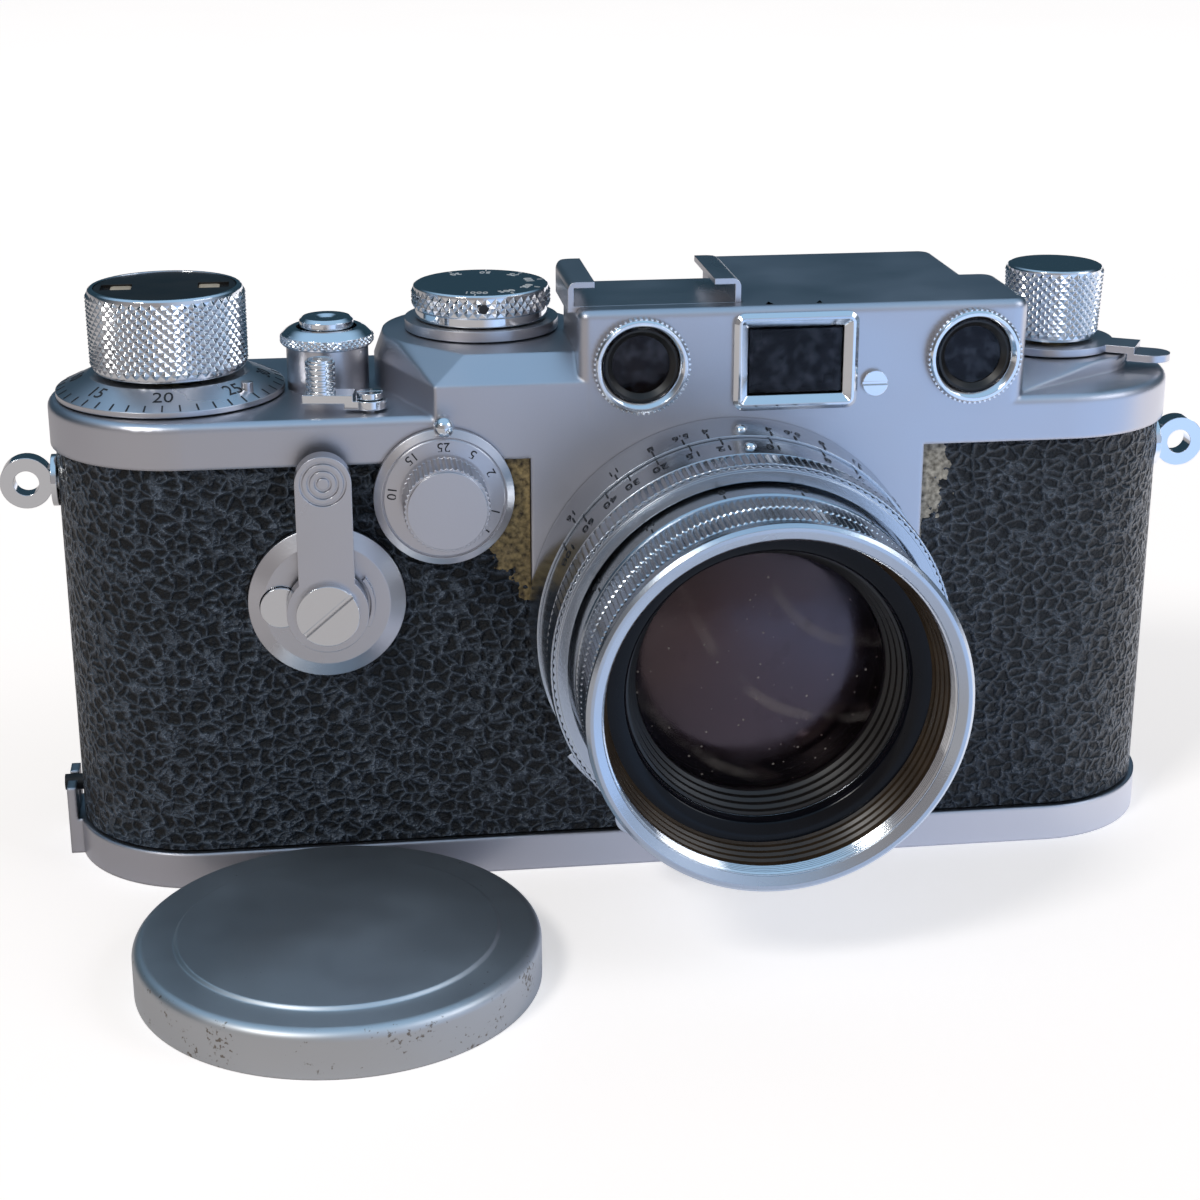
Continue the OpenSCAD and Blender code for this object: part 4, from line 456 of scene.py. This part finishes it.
# %% Dress the CAD nodes
DRESS = {
    cover_chrome: ["top_cover", "base_plate"],
    satin_chrome: ["accessory_shoe", "self_timer_plate", "release_collar", "counter_dial", "flash_ring",
                   "timer_lever", "slow_dial", "eyesight_lever", "key_hub"],
    lens_chrome: ["lens_flange", "focus_ring", "lens_tube", "aperture_ring", "front_rim"],
    bright_chrome: ["window_ring_left", "window_ring_right", "viewfinder_frame", "cover_screws",
                    "flash_socket", "strap_lugs", "mount_ring", "slow_dial_pin", "guard_ring", "wind_knob",
                    "speed_dial", "release_button", "release_spring", "rewind_lever", "timer_screw",
                    "timer_button", "rewind_knob", "key_ring", "focus_lock"],
    cap_chrome: ["lens_cap"],
    covering: ["leather_cover"],
    black_enamel: ["eyepiece_rings", "pressure_plate", "takeup_spool", "reminder_disc", "name_ring",
                   "lens_carrier"],
    dark_alloy: ["body_shell", "shutter_crate", "iris_blades"],
    turned_brass: ["curtain_roller", "rangefinder_arm", "wind_shaft", "sprocket", "curtain_drum",
                   "speed_bush", "rewind_shaft", "tripod_bush"],
    curtain_cloth: ["shutter_curtains"],
    lens_glass: ["front_glass", "rear_glass"],
    window_glass: ["window_glasses", "viewfinder_glass", "rangefinder_prisms"],
}
for finish, names in DRESS.items():
    for name in names:
        for place in nodes[name].material_slots:
            place.material = finish
print("dressed", sum(len(v) for v in DRESS.values()), "of", len(nodes), "nodes")

# %% [markdown]
# ## Tools for modelling
# New pieces are modelled in millimetres on their own axis, as on a lathe, and then set in place: upright,
# or facing forwards along the lens's axis. Scaling to metres is applied into the mesh, so each finished
# object sits at the origin. Selecting by place in code does what the mouse does by hand.

# %% Selecting and growing
# Points closer than this many millimetres are one point.
SAME = 0.001


def clear_bench():
    """Object mode, with nothing selected."""
    if bpy.context.object and bpy.context.object.mode != "OBJECT":
        bpy.ops.object.mode_set(mode="OBJECT")
    bpy.ops.object.select_all(action="DESELECT")


def pick(piece, kind, wanted):
    """In edit mode, selects only the faces, edges or vertices that are wanted."""
    mesh = bmesh.from_edit_mesh(piece.data)
    for group in (mesh.faces, mesh.edges, mesh.verts):
        for item in group:
            item.select = False
    for item in [item for item in getattr(mesh, kind) if wanted(item)]:
        item.select_set(True)
    bmesh.update_edit_mesh(piece.data)


def tidy():
    """Closes seams and points the faces outwards."""
    bpy.ops.mesh.select_all(action="SELECT")
    bpy.ops.mesh.remove_doubles(threshold=SAME)
    bpy.ops.mesh.normals_make_consistent()


def rise(height):
    """Extrudes what is selected by so many mm along the bench's axis."""
    bpy.ops.mesh.extrude_region_move(TRANSFORM_OT_translate={"value": (0, 0, height)})


def grow(profile):
    """Extrudes the selected loop from one (radius, height) to the next; a radius of 0 closes it."""
    for (radius, height), (next_radius, next_height) in zip(profile, profile[1:]):
        rise(next_height - height)
        if next_radius == 0:
            bpy.ops.mesh.merge(type="CENTER")
            return
        ratio = next_radius / radius
        bpy.ops.transform.resize(value=(ratio, ratio, 1), center_override=(0, 0, next_height))


# %% Starting a piece
def hoop(name, around, radius, height):
    """A circle on a clear bench, in edit mode and all selected."""
    clear_bench()
    bpy.ops.mesh.primitive_circle_add(vertices=around, radius=radius)
    piece = bpy.context.object
    piece.name = name
    bpy.ops.object.mode_set(mode="EDIT")
    bpy.ops.mesh.select_all(action="SELECT")
    bpy.ops.transform.translate(value=(0, 0, height))
    return piece


def turned(name, profile, around=96, ring=True):
    """A lathe piece: a circle grown along its profile of (radius, height). A ring is joined to its start,
    and any other piece is filled behind."""
    piece = hoop(name, around, *profile[0])
    grow(profile + profile[:1] if ring else profile)
    tidy()
    if not ring:
        pick(piece, "edges", lambda e: e.is_boundary)
        bpy.ops.mesh.edge_face_add()
        tidy()
    return piece


def rounded_plate(name, size, centre, corner, segments):
    """A flat plate with rounded corners, in edit mode and all selected."""
    clear_bench()
    bpy.ops.mesh.primitive_plane_add(size=1.0)
    piece = bpy.context.object
    piece.name = name
    bpy.ops.object.mode_set(mode="EDIT")
    bpy.ops.transform.resize(value=(*size, 1), center_override=(0, 0, 0))
    bpy.ops.transform.translate(value=centre)
    bpy.ops.mesh.bevel(offset=corner, segments=segments, affect="VERTICES")
    return piece


# %% Handing over
def hand_over(piece, place, body, finish, stands_for=(), smooth=30):
    """Moves a piece from its bench to its place, all applied to its mesh, and gives it its finish, the body
    it rides on and the CAD nodes that it stands for."""
    clear_bench()
    piece.select_set(True)
    bpy.context.view_layer.objects.active = piece
    at, tip = place
    piece.location = Vector(at) * MM
    piece.rotation_euler = (tip, 0, 0)
    piece.scale = (MM, MM, MM)
    bpy.ops.object.transform_apply()
    bpy.ops.object.shade_smooth_by_angle(angle=radians(smooth))
    piece.data.materials.clear()
    piece.data.materials.append(finish)
    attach(piece, body)
    if stands_for:
        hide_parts(*stands_for)
    print(piece.name, "has", len(piece.data.polygons), "faces and rides on", body)


# %% Places on the camera
def middle(node):
    """The middle of a node's box in millimetres."""
    low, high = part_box(node)
    return [round((a + b) / 2 / MM, 2) for a, b in zip(low, high)]


def upright(node):
    """Where a node's upright axis starts, and how far it tips forwards."""
    return (*middle(node)[:2], 0), 0


def forward(node):
    """The same for a node that faces forwards."""
    return (middle(node)[0], 0, middle(node)[2]), pi / 2


LENS = forward("front_rim")
FINDER = forward("viewfinder_frame")
SLOW = forward("slow_dial")
WINDOWS = {side: forward("window_ring_" + side) for side in ("left", "right")}
WIND = upright("counter_dial")
RELEASE = upright("release_collar")
SPEED = upright("flash_ring")
REWIND = upright("rewind_knob")
print("benches ready for", LENS, FINDER, SLOW, WINDOWS, WIND, RELEASE, SPEED, REWIND)

# %% [markdown]
# ## Diamond knurls
# A knurl is rolled by two wheels with slanting teeth, which leave rows of little pyramids. On a mesh: a
# band of quads is poked, which puts a point in the middle of each; dissolving the old edges leaves
# diamonds; and poking those with an offset raises each diamond to a pyramid. The CAD solid has plain
# straight serrations of the same size, which this stands for.

# %% Diamond knurl tools
def knurled_band(name, radii, heights, around, rows, depth):
    """An open band of pyramids between two heights, its points at the given radii."""
    (low, high), (bottom, top) = radii, heights
    piece = hoop(name, around, low - depth, bottom)
    grow([(low + (high - low) * i / rows - depth, bottom + (top - bottom) * i / rows)
          for i in range(rows + 1)])
    bpy.ops.mesh.select_all(action="SELECT")
    bpy.ops.mesh.normals_make_consistent()
    corners = around * (rows + 1)
    bpy.ops.mesh.poke()
    bmesh.from_edit_mesh(piece.data).verts.index_update()
    pick(piece, "edges", lambda e: not e.is_boundary and all(v.index < corners for v in e.verts))
    bpy.ops.mesh.dissolve_edges(use_verts=False)
    pick(piece, "faces", lambda f: len(f.verts) == 4)
    bpy.ops.mesh.poke(offset=depth)
    return piece


def grow_rim(piece, profile, fill):
    """Grows the band's open rim along its profile, and fills the last loop if it is to be a flat end."""
    start = profile[0][1]
    pick(piece, "edges", lambda e: e.is_boundary and all(abs(v.co.z - start) < SAME for v in e.verts))
    grow(profile)
    if fill:
        bpy.ops.mesh.edge_face_add()


def knob(name, place, band, top, bottom, body, node, fill=True):
    """A knurled piece: its band, then the profiles of its top and bottom rims, filled or left to meet."""
    piece = knurled_band(name, **band)
    grow_rim(piece, top, fill)
    grow_rim(piece, bottom, fill)
    tidy()
    hand_over(piece, place, body, bright_chrome, [node], smooth=20)


# %% Wind knob
band = {"radii": (9.3, 9.35), "heights": (60.95, 69.75), "around": 48, "rows": 8, "depth": 0.34}
top = [(9.01, 69.75), (8.95, 70.0), (8.7, 70.2), (8.32, 70.2), (8.26, 69.1)]
bottom = [(8.96, 60.95), (8.9, 60.6), (8.6, 60.5)]
knob("wind_knob_knurled", WIND, band, top, bottom, "winder", "wind_knob")

# %% Film reminder inlays
# Two little plates of yellowed celluloid, cut from sheet, lie in the slots of the disc in the knob's top.
# They look like old ivory: half glossy, and darker in patches.
INLAY_MM = (2.4, 2.9)
INLAY_OFF_AXIS = 5.1
celluloid = aged("aged_celluloid", 2, 3.0, ("#9C8C6C", "#E8E4DA"), 0.35)
bed = middle("reminder_disc")[2] + 0.02
for side, x in (("left", -INLAY_OFF_AXIS), ("right", INLAY_OFF_AXIS)):
    inlay = rounded_plate("reminder_inlay_" + side, INLAY_MM, (x, 0, bed), corner=0.3, segments=3)
    rise(0.2)
    bpy.ops.mesh.inset(thickness=0.25, depth=0.08)
    tidy()
    hand_over(inlay, WIND, "reminder", celluloid)

# %% Rewind knob
band = {"radii": (5.75, 6.1), "heights": (61.1, 69.3), "around": 34, "rows": 8, "depth": 0.3}
top = [(5.78, 69.3), (5.7, 69.5), (5.45, 69.6)]
bottom = [(5.43, 61.1), (5.3, 60.8), (5.1, 60.7)]
knob("rewind_knob_knurled", REWIND, band, top, bottom, "rewind_pull", "rewind_knob")

# %% Speed dial
band = {"radii": (8.4, 8.4), "heights": (66.45, 68.75), "around": 46, "rows": 2, "depth": 0.3}
top = [(8.08, 68.75), (8.05, 68.95), (7.8, 69.1)]
bottom = [(8.08, 66.45), (7.9, 66.3), (7.9, 65.3)]
knob("speed_dial_knurled", SPEED, band, top, bottom, "speed", "speed_dial")

# %% Release guard ring
foot = round(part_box("guard_ring")[0][2] / MM, 2)
band = {"radii": (5.6, 5.6), "heights": (foot + 0.15, foot + 1.25), "around": 44, "rows": 2, "depth": 0.24}
top = [(5.36, foot + 1.25), (5.2, foot + 1.37), (4.9, foot + 1.7), (4.55, foot + 1.95), (4.2, foot + 2.1),
       (3.6, foot + 2.1), (3.5, foot)]
bottom = [(5.36, foot + 0.15), (5.2, foot), (3.5, foot)]
knob("release_guard_knurled", RELEASE, band, top, bottom, "camera", "guard_ring", fill=False)

# %% [markdown]
# ## Windows
# Each rangefinder window is a screwed ring with a toothed edge, so that fingers can turn it, and a bevel
# that leads the eye in to a black tube. The teeth are made by extruding every second face of the ring's
# wall. The viewfinder's frame is a rounded plate, inset step by step: up, across, and down to the
# opening.

# %% Rangefinder window rings
TEETH = 56
WALL = [(5.4, 16.0), (5.4, 17.2)]
LIP = [(5.2, 17.45), (4.85, 17.45), (4.3, 16.95), (4.2, 16.7), (4.2, 14.8), (4.7, 14.8), (4.7, 16.0)]


def is_tooth(face):
    """Every second face of the ring's wall."""
    at = face.calc_center_median()
    turn = (at.xy.angle_signed(Vector((1, 0))) + pi) / (2 * pi)
    (radius, low), (_, high) = WALL
    on_wall = low < at.z < high and at.xy.length > radius - 0.1
    return on_wall and round(turn * 2 * TEETH - 0.5) % 2 == 0


for side, place in WINDOWS.items():
    ring = turned("window_ring_toothed_" + side, WALL + LIP, around=2 * TEETH)
    pick(ring, "faces", is_tooth)
    bpy.ops.mesh.extrude_faces_move(TRANSFORM_OT_shrink_fatten={"value": 0.2})
    hand_over(ring, place, "camera", bright_chrome, ["window_ring_" + side])

# %% Window tubes
TUBE = [(4.19, 15.85), (4.19, 16.5), (3.95, 16.5), (3.35, 15.9), (3.35, 15.85)]
for side, place in WINDOWS.items():
    hand_over(turned("window_tube_" + side, TUBE), place, "camera", black_enamel)

# %% Painted reflections behind the windows
# Glossy discs behind the windows carry a painted reflection: brownish behind the left window, dark behind
# the right.
for side, chart in {"left": "#8A6A55", "right": "#1C2028"}.items():
    name = "window_painted_reflection_" + side
    painted_reflection_finish = aged(name + "_glass", 2.5, 4.0, ("#0C0B0C", chart), 0.15)
    mirror = turned(name, [(4.1, 14.0), (4.1, 14.5), (2.0, 14.62), (0, 14.66)], around=48, ring=False)
    hand_over(mirror, WINDOWS[side], "camera", painted_reflection_finish, smooth=60)

# %% Viewfinder frame
FRAME_MM = (14.6, 11.4)
SEAT = 16.0
finder = rounded_plate("viewfinder_frame_bevelled", FRAME_MM, (0, 0, SEAT), corner=1.3, segments=5)
rise(0.55)
for across, up in ((0.5, 0.42), (0.3, 0.03), (0.9, -0.75)):
    bpy.ops.mesh.inset(thickness=across, depth=up)
rise(-0.25)
bpy.ops.mesh.delete(type="FACE")
# The plate's own back goes too, and a flat ring joins the two loops that are left.
pick(finder, "faces", lambda f: f.normal.z < -0.9
     or (f.normal.z > 0.9 and f.calc_center_median().z < SEAT + 0.01))
bpy.ops.mesh.delete(type="FACE")
pick(finder, "edges", lambda e: e.is_boundary)
bpy.ops.mesh.bridge_edge_loops()
tidy()
hand_over(finder, FINDER, "camera", bright_chrome, ["viewfinder_frame"])

# %% Viewfinder mask
# Behind the viewfinder's pane a black mask surrounds its small front lens.
MASK_MM = (11.3, 8.1)
mask = rounded_plate("viewfinder_mask", MASK_MM, (0, 0, 13.4), corner=0.9, segments=4)
rise(1.9)
for across, up in ((0.25, 0), (0.9, -1.1), (0.5, 0), (0.25, 0.3)):
    bpy.ops.mesh.inset(thickness=across, depth=up)
tidy()
hand_over(mask, FINDER, "camera", black_enamel)

# %% [markdown]
# ## Engraved scales
# Marks on the dials are cut with a pantograph and filled with black. Text and small bars are made flat,
# turned to mesh, given a hair of thickness and laid on their dial, just proud of it, so they turn with
# it. All the numbers are plain dial numbers.

# %% Scale tools
# Black wax in a cut line: dull, and a little grey where it has worn.
engraved_black = aged("engraving_wax", 1.0, 3.0, ("#0C0D10", "#2B2D33"), 0.7)
DEEP = 0.03


def mark(kind, matrix, size=None):
    """One number of a size, or one bar of (width, length), laid by a matrix in millimetres."""
    clear_bench()
    if isinstance(kind, str):
        bpy.ops.object.text_add()
        made = bpy.context.object
        made.data.body = kind
        made.data.size = size
        made.data.align_x = "CENTER"
        made.data.align_y = "CENTER"
        made.data.extrude = DEEP / 2
        made.data.resolution_u = 3
        bpy.ops.object.convert(target="MESH")
        made = bpy.context.object
    else:
        bpy.ops.mesh.primitive_plane_add(size=1.0)
        made = bpy.context.object
        made.scale = (*kind, 1)
        bpy.ops.object.transform_apply(location=False, rotation=False, scale=True)
        bpy.ops.object.mode_set(mode="EDIT")
        rise(DEEP)
        bpy.ops.object.mode_set(mode="OBJECT")
    made.matrix_world = matrix
    bpy.ops.object.transform_apply()
    return made


def joined(name, marks):
    """All of a dial's marks as one piece."""
    clear_bench()
    for made in marks:
        made.select_set(True)
    bpy.context.view_layer.objects.active = marks[0]
    bpy.ops.object.join()
    marks[0].name = name
    return marks[0]


# %% Places on a dial
def beside_axis(angle, radius, height):
    """A place round Z, in degrees and millimetres."""
    return Matrix.Translation((radius * cos(radians(angle)), radius * sin(radians(angle)), height))


def on_disc(angle, radius, height, tilt=0.0):
    """Lies on a disc or cone round Z, its top towards the axis."""
    return (beside_axis(angle, radius, height) @ Matrix.Rotation(radians(angle) + pi / 2, 4, "Z")
            @ Matrix.Rotation(tilt, 4, "X"))


def on_drum(angle, radius, height):
    """Lies on the side of a drum round Z, its top towards +Z."""
    return (beside_axis(angle, radius, height) @ Matrix.Rotation(radians(angle) + pi / 2, 4, "Z")
            @ Matrix.Rotation(pi / 2, 4, "X"))


print("marks are", DEEP, "mm thick")

# %% Frame counter
# The dial is a cone, which falls towards its edge. The number 20 stands at the front.
CONE_R, CONE_Z = 13.4, 58.3
CONE_WIDE, CONE_FALL = 3.8, 1.8
CONE_TILT = round(atan2(CONE_FALL, CONE_WIDE), 4)
FRONT_ANGLE = -92


def on_cone(angle, radius):
    """Lies on the counter's cone, so many degrees round from the front."""
    height = CONE_Z + (CONE_R - radius) / CONE_WIDE * CONE_FALL + DEEP / 2
    return on_disc(FRONT_ANGLE + angle, radius, height, CONE_TILT)


marks = [mark((0.2, 1.1), on_cone(9 * i, 12.75)) for i in range(40)]
marks += [mark(str(5 * i), on_cone(45 * (i - 4), 11.0), 2.5) for i in range(8)]
hand_over(joined("frame_counter_scale", marks), WIND, "counter", engraved_black)

# %% Speed numbers
# These are cut into a dark, mirror-bright top, where the cuts catch the light; their pale colour is a
# painted highlight of that glint.
SPEED_TOP = 69.115
painted_glint_finish = aged("engraving_painted_glint", 1.0, 3.0, ("#8F9AA2", "#EDF2F5"), 0.6)
speeds = {"1000": -100, "500": -64, "200": -28, "100": 8, "75": 44, "50": 80, "30": 116}
marks = [mark(n, on_disc(a, 6.0, SPEED_TOP), 1.45) for n, a in speeds.items()]
marks += [mark((0.14, 0.7), on_disc(a, 7.3, SPEED_TOP)) for a in speeds.values()]
hand_over(joined("speed_scale", marks), SPEED, "speed", painted_glint_finish)

# %% Speed index
# A black dot on the knurl tells which speed is set.
def stud(name, profile, angle, radius, height):
    """A small domed stud on the side of a drum round Z."""
    piece = turned(name, profile, around=24, ring=False)
    bpy.ops.object.mode_set(mode="OBJECT")
    piece.matrix_world = on_drum(angle, radius, height)
    bpy.ops.object.transform_apply()
    return piece


dot = stud("speed_index_dot", [(0.55, -0.4), (0.55, 0.0), (0.45, 0.08), (0, 0.1)], -92.5, 8.3, 67.6)
hand_over(dot, SPEED, "speed", engraved_black)

# %% Slow-speed numbers
# The tops of the numbers point to the knob, and a bar ends the scale.
SLOW_FACE = 17.505
slow = {"25": 90, "15": 127, "10": 172, "5": 57, "2": 28, "1": -17}
marks = [mark(n, on_disc(a, 6.1, SLOW_FACE), 1.6) for n, a in slow.items()]
marks += [mark((0.16, 1.0), on_disc(-40, 6.1, SLOW_FACE))]
hand_over(joined("slow_speed_scale", marks), SLOW, "slow_speeds", engraved_black)

# %% Depth-of-field scale
stops = {"4": 9, "5.6": 16, "8": 25, "11": 37, "16": 54}
marks = []
for n, a in stops.items():
    for angle in (90 - a, 90 + a):
        marks.append(mark((0.2, 1.5), on_drum(angle, 23.5, 21.9)))
        marks.append(mark(n, on_drum(angle, 23.61, 20.1), 1.7))
hand_over(joined("field_scale", marks), LENS, "camera", engraved_black)

# %% Distance scale
feet = {"100": 151, "60": 141, "40": 132, "30": 124, "20": 115, "15": 105, "12": 96, "10": 82, "8": 66,
        "7": 55, "6": 42, "5": 26, "4": 4}
marks = [mark((0.2, 1.4), on_drum(a, 23.1, 23.95)) for a in feet.values()]
marks += [mark(n, on_drum(a, 23.05, 26.0), 2.0) for n, a in feet.items()]
hand_over(joined("distance_scale", marks), LENS, "focus", engraved_black)

# %% Aperture scale
openings = {"16": 150, "11": 126, "8": 102, "5.6": 78, "4": 54, "2.8": 30, "2": 6}
marks = [mark(n, on_drum(a, 20.72, 34.4), 1.8) for n, a in openings.items()]
marks += [mark((0.2, 1.1), on_drum(a, 20.72, 36.3)) for a in openings.values()]
hand_over(joined("aperture_scale", marks), LENS, "collapse", engraved_black)

# %% Index beads
# A polished bead at the top of the flange, and one on the focusing ring, lead the eye to the scales.
BEAD = [(0.75, -0.4), (0.75, 0.0), (0.68, 0.22), (0.5, 0.4), (0.26, 0.5), (0, 0.53)]
BEAD_ANGLE = 89
BEADS = {"flange_bead": (23.45, 20.6, "camera"), "focus_bead": (22.95, 26.2, "focus")}
for name, (radius, front, body) in BEADS.items():
    bead = stud(name, BEAD, BEAD_ANGLE, radius, front)
    hand_over(bead, LENS, body, bright_chrome, smooth=60)

# %% [markdown]
# ## Fluted grips
# The focusing ring's edge and the aperture ring are fluted like a coin, far finer than the drawing's
# scallops. Each is turned with two meridians to a flute, and every second meridian of its outer wall is
# then pressed in. The aperture ring has two fluted rows with a groove between them.

# %% Focusing ring's coin edge
def fluted(name, profile, count, depth):
    """A lathe ring whose widest lands carry this many flutes of this depth."""
    ring = turned(name, profile, around=2 * count)
    widest = max(r for r, _ in profile)
    pick(ring, "verts", lambda v: v.co.xy.length > widest - 0.02
         and round(atan2(v.co.y, v.co.x) / pi * count) % 2 == 1)
    pressed = (widest - depth) / widest
    bpy.ops.transform.resize(value=(pressed, pressed, 1), center_override=(0, 0, 0))
    return ring


rim = [(22.7, 29.3), (22.95, 29.3), (23.06, 29.45), (23.06, 32.9), (22.95, 33.05), (22.7, 33.05)]
coin = fluted("focus_coin_edge", rim, count=168, depth=0.26)
hand_over(coin, LENS, "focus", lens_chrome, smooth=25)

# %% Aperture ring
back_row = [(18.5, 37.35), (20.0, 37.35), (20.3, 37.6), (20.42, 37.9), (20.7, 38.0), (20.7, 41.2)]
front_row = [(20.42, 41.3), (20.3, 41.5), (20.42, 41.7), (20.7, 41.8), (20.7, 45.5), (20.45, 45.6)]
mouth = [(20.45, 46.7), (20.3, 47.4), (20.05, 47.6), (19.98, 47.6), (19.98, 40.35), (18.5, 40.35)]
aperture = fluted("aperture_ring_fluted", back_row + front_row + mouth, count=186, depth=0.3)
hand_over(aperture, LENS, "aperture", lens_chrome, ["aperture_ring"], smooth=25)

# %% [markdown]
# ## Inside the lens
# Behind the rim a funnel of fine steps, painted brown as a painted warm reflection, leads in to a plain
# black ring, and blackened steps lead on down the barrel to the front glass, so that no stray light is
# thrown back. The tube that carries all this is turned again here with a tapering mouth, to give the
# steps room.

# %% Tube with a tapering mouth
outside = [(11.05, 2.5), (16.65, 2.5), (16.65, 32.85), (18.9, 32.85), (18.9, 31.4), (20.4, 31.4),
           (20.7, 31.7), (20.7, 36.9), (20.55, 37.2), (18.4, 37.2), (18.4, 40.4)]
bore = [(15.75, 40.4), (14.1, 36.3), (14.06, 32.85), (15.5, 32.85), (15.5, 4.5), (11.05, 4.5)]
tube = turned("lens_tube_tapered", outside + bore)
hand_over(tube, LENS, "collapse", lens_chrome, ["lens_tube"], smooth=25)

# %% Barrel steps
# Four steps, 1 mm apart, that narrow towards the glass.
steps = [(15.68, 40.4)]
for i in range(4):
    radius = 15.3 - 0.407 * i
    steps += [(radius, 40.25 - i), (radius, 39.55 - i)]
steps += [(14.03, 36.35)]
hand_over(turned("barrel_steps", steps), LENS, "collapse", black_enamel, smooth=25)

# %% Bare name ring
# Its lacquer is glossier and bluer than the enamel, because nothing has ever rubbed it.
black_lacquer = aged("black_lacquer", 4, 3.0, ("#05060A", "#12141C"), 0.14,
                     shine={"Specular IOR Level": 0.18})
dish = [(18.95, 41.55), (18.95, 42.45), (17.9, 42.45), (16.1, 42.1), (15.85, 41.9), (15.72, 41.5),
        (15.72, 40.45), (15.95, 40.45), (15.95, 41.55)]
ring = turned("name_ring_dished", dish)
hand_over(ring, LENS, "collapse", black_lacquer, ["name_ring"], smooth=40)

# %% Funnel with a painted warm reflection
# Enamel again, painted brown in drifting patches as a painted warm reflection on its steps.
enamel_painted_warm_reflection = aged("enamel_painted_warm_reflection", 5, 3.0, ("#1A1612", "#4A3B2A"), (0.2, 0.4))
funnel = [(19.23, 42.5), (19.23, 46.15)]
for i in range(4):
    radius, front = 18.95 - 0.26 * i, 46.1 - 0.9 * i
    funnel += [(radius, front), (radius, front - 0.6)]
funnel += [(17.95, 42.5)]
hand_over(turned("funnel_painted_warm_reflection", funnel), LENS, "collapse", enamel_painted_warm_reflection, smooth=25)

# %% Filter thread
# The rim's own thread stays bright: five ridges, 0.4 mm apart.
PITCH = 0.4
ridges = [(19.23, 46.2)]
for i in range(5):
    ridges += [(18.95, 46.3 + PITCH * i), (19.18, 46.5 + PITCH * i)]
ridges += [(19.23, 48.38)]
thread = turned("filter_thread_ridges", ridges)
hand_over(thread, LENS, "collapse", bright_chrome, smooth=25)

# %% Front glass
# Ground to a true sphere: 14 mm to its edge, domed by 2.2 mm.
BACK_MM, RIM_MM, DOME_MM, EDGE_R = 34.1, 36.3, 2.2, 13.98
ball = (EDGE_R ** 2 + DOME_MM ** 2) / (2 * DOME_MM)
dome = [(r, RIM_MM + DOME_MM - ball + sqrt(ball ** 2 - r ** 2))
        for r in (13.6, 12.5, 11, 9.5, 8, 6.5, 5, 3.5, 2, 0.8)]
ground = [(EDGE_R, BACK_MM), (EDGE_R, RIM_MM)] + dome + [(0, RIM_MM + DOME_MM)]
front = turned("front_glass_ground", ground, ring=False)
hand_over(front, LENS, "collapse", lens_glass, ["front_glass"], smooth=60)

# %% Second lens
# Seen through the front glass, the next lens fills the barrel. Its mauve colour is a painted reflection of
# its coating, deepest in the middle, and it darkens to painted shade towards the barrel's edge.
glass_painted_mauve, tree, where = finish_named("second_lens_painted_sheen")
bloom = add(tree, "TexNoise", {"Vector": where, "Scale": per_mm(13), "Detail": 2.0})
painted_mauve_reflection = add(tree, "Mix", {"Factor": bloom, 6: "#5E525A", 7: "#A98A90"}, data_type="RGBA")
(x, _, z), _ = LENS
centred = add(tree, "Mapping", {"Vector": where, "Scale": (1, 0, 1), "Location": (-x * MM, 0, -z * MM)})
off_axis = add(tree, "VectorMath", {0: centred}, operation="LENGTH")
painted_edge_shade = add(tree, "MapRange", {"Value": off_axis, "From Min": 7 * MM, "From Max": 13.5 * MM},
             interpolation_type="SMOOTHSTEP")
tone = add(tree, "Mix", {"Factor": painted_edge_shade, 6: painted_mauve_reflection, 7: "#15141B"}, data_type="RGBA")
shader = add(tree, "BsdfPrincipled", {"Base Color": tone, "Roughness": 0.12, "IOR": 1.4,
                                      "Specular Tint": "#C9BCC8"})
add(tree, "OutputMaterial", {"Surface": shader})
curve = [(13.85, 33.0), (13.85, 33.25), (10.5, 33.6), (7.0, 33.85), (3.5, 33.98), (0, 34.02)]
second = turned("second_lens", curve, ring=False)
hand_over(second, LENS, "collapse", glass_painted_mauve, smooth=60)
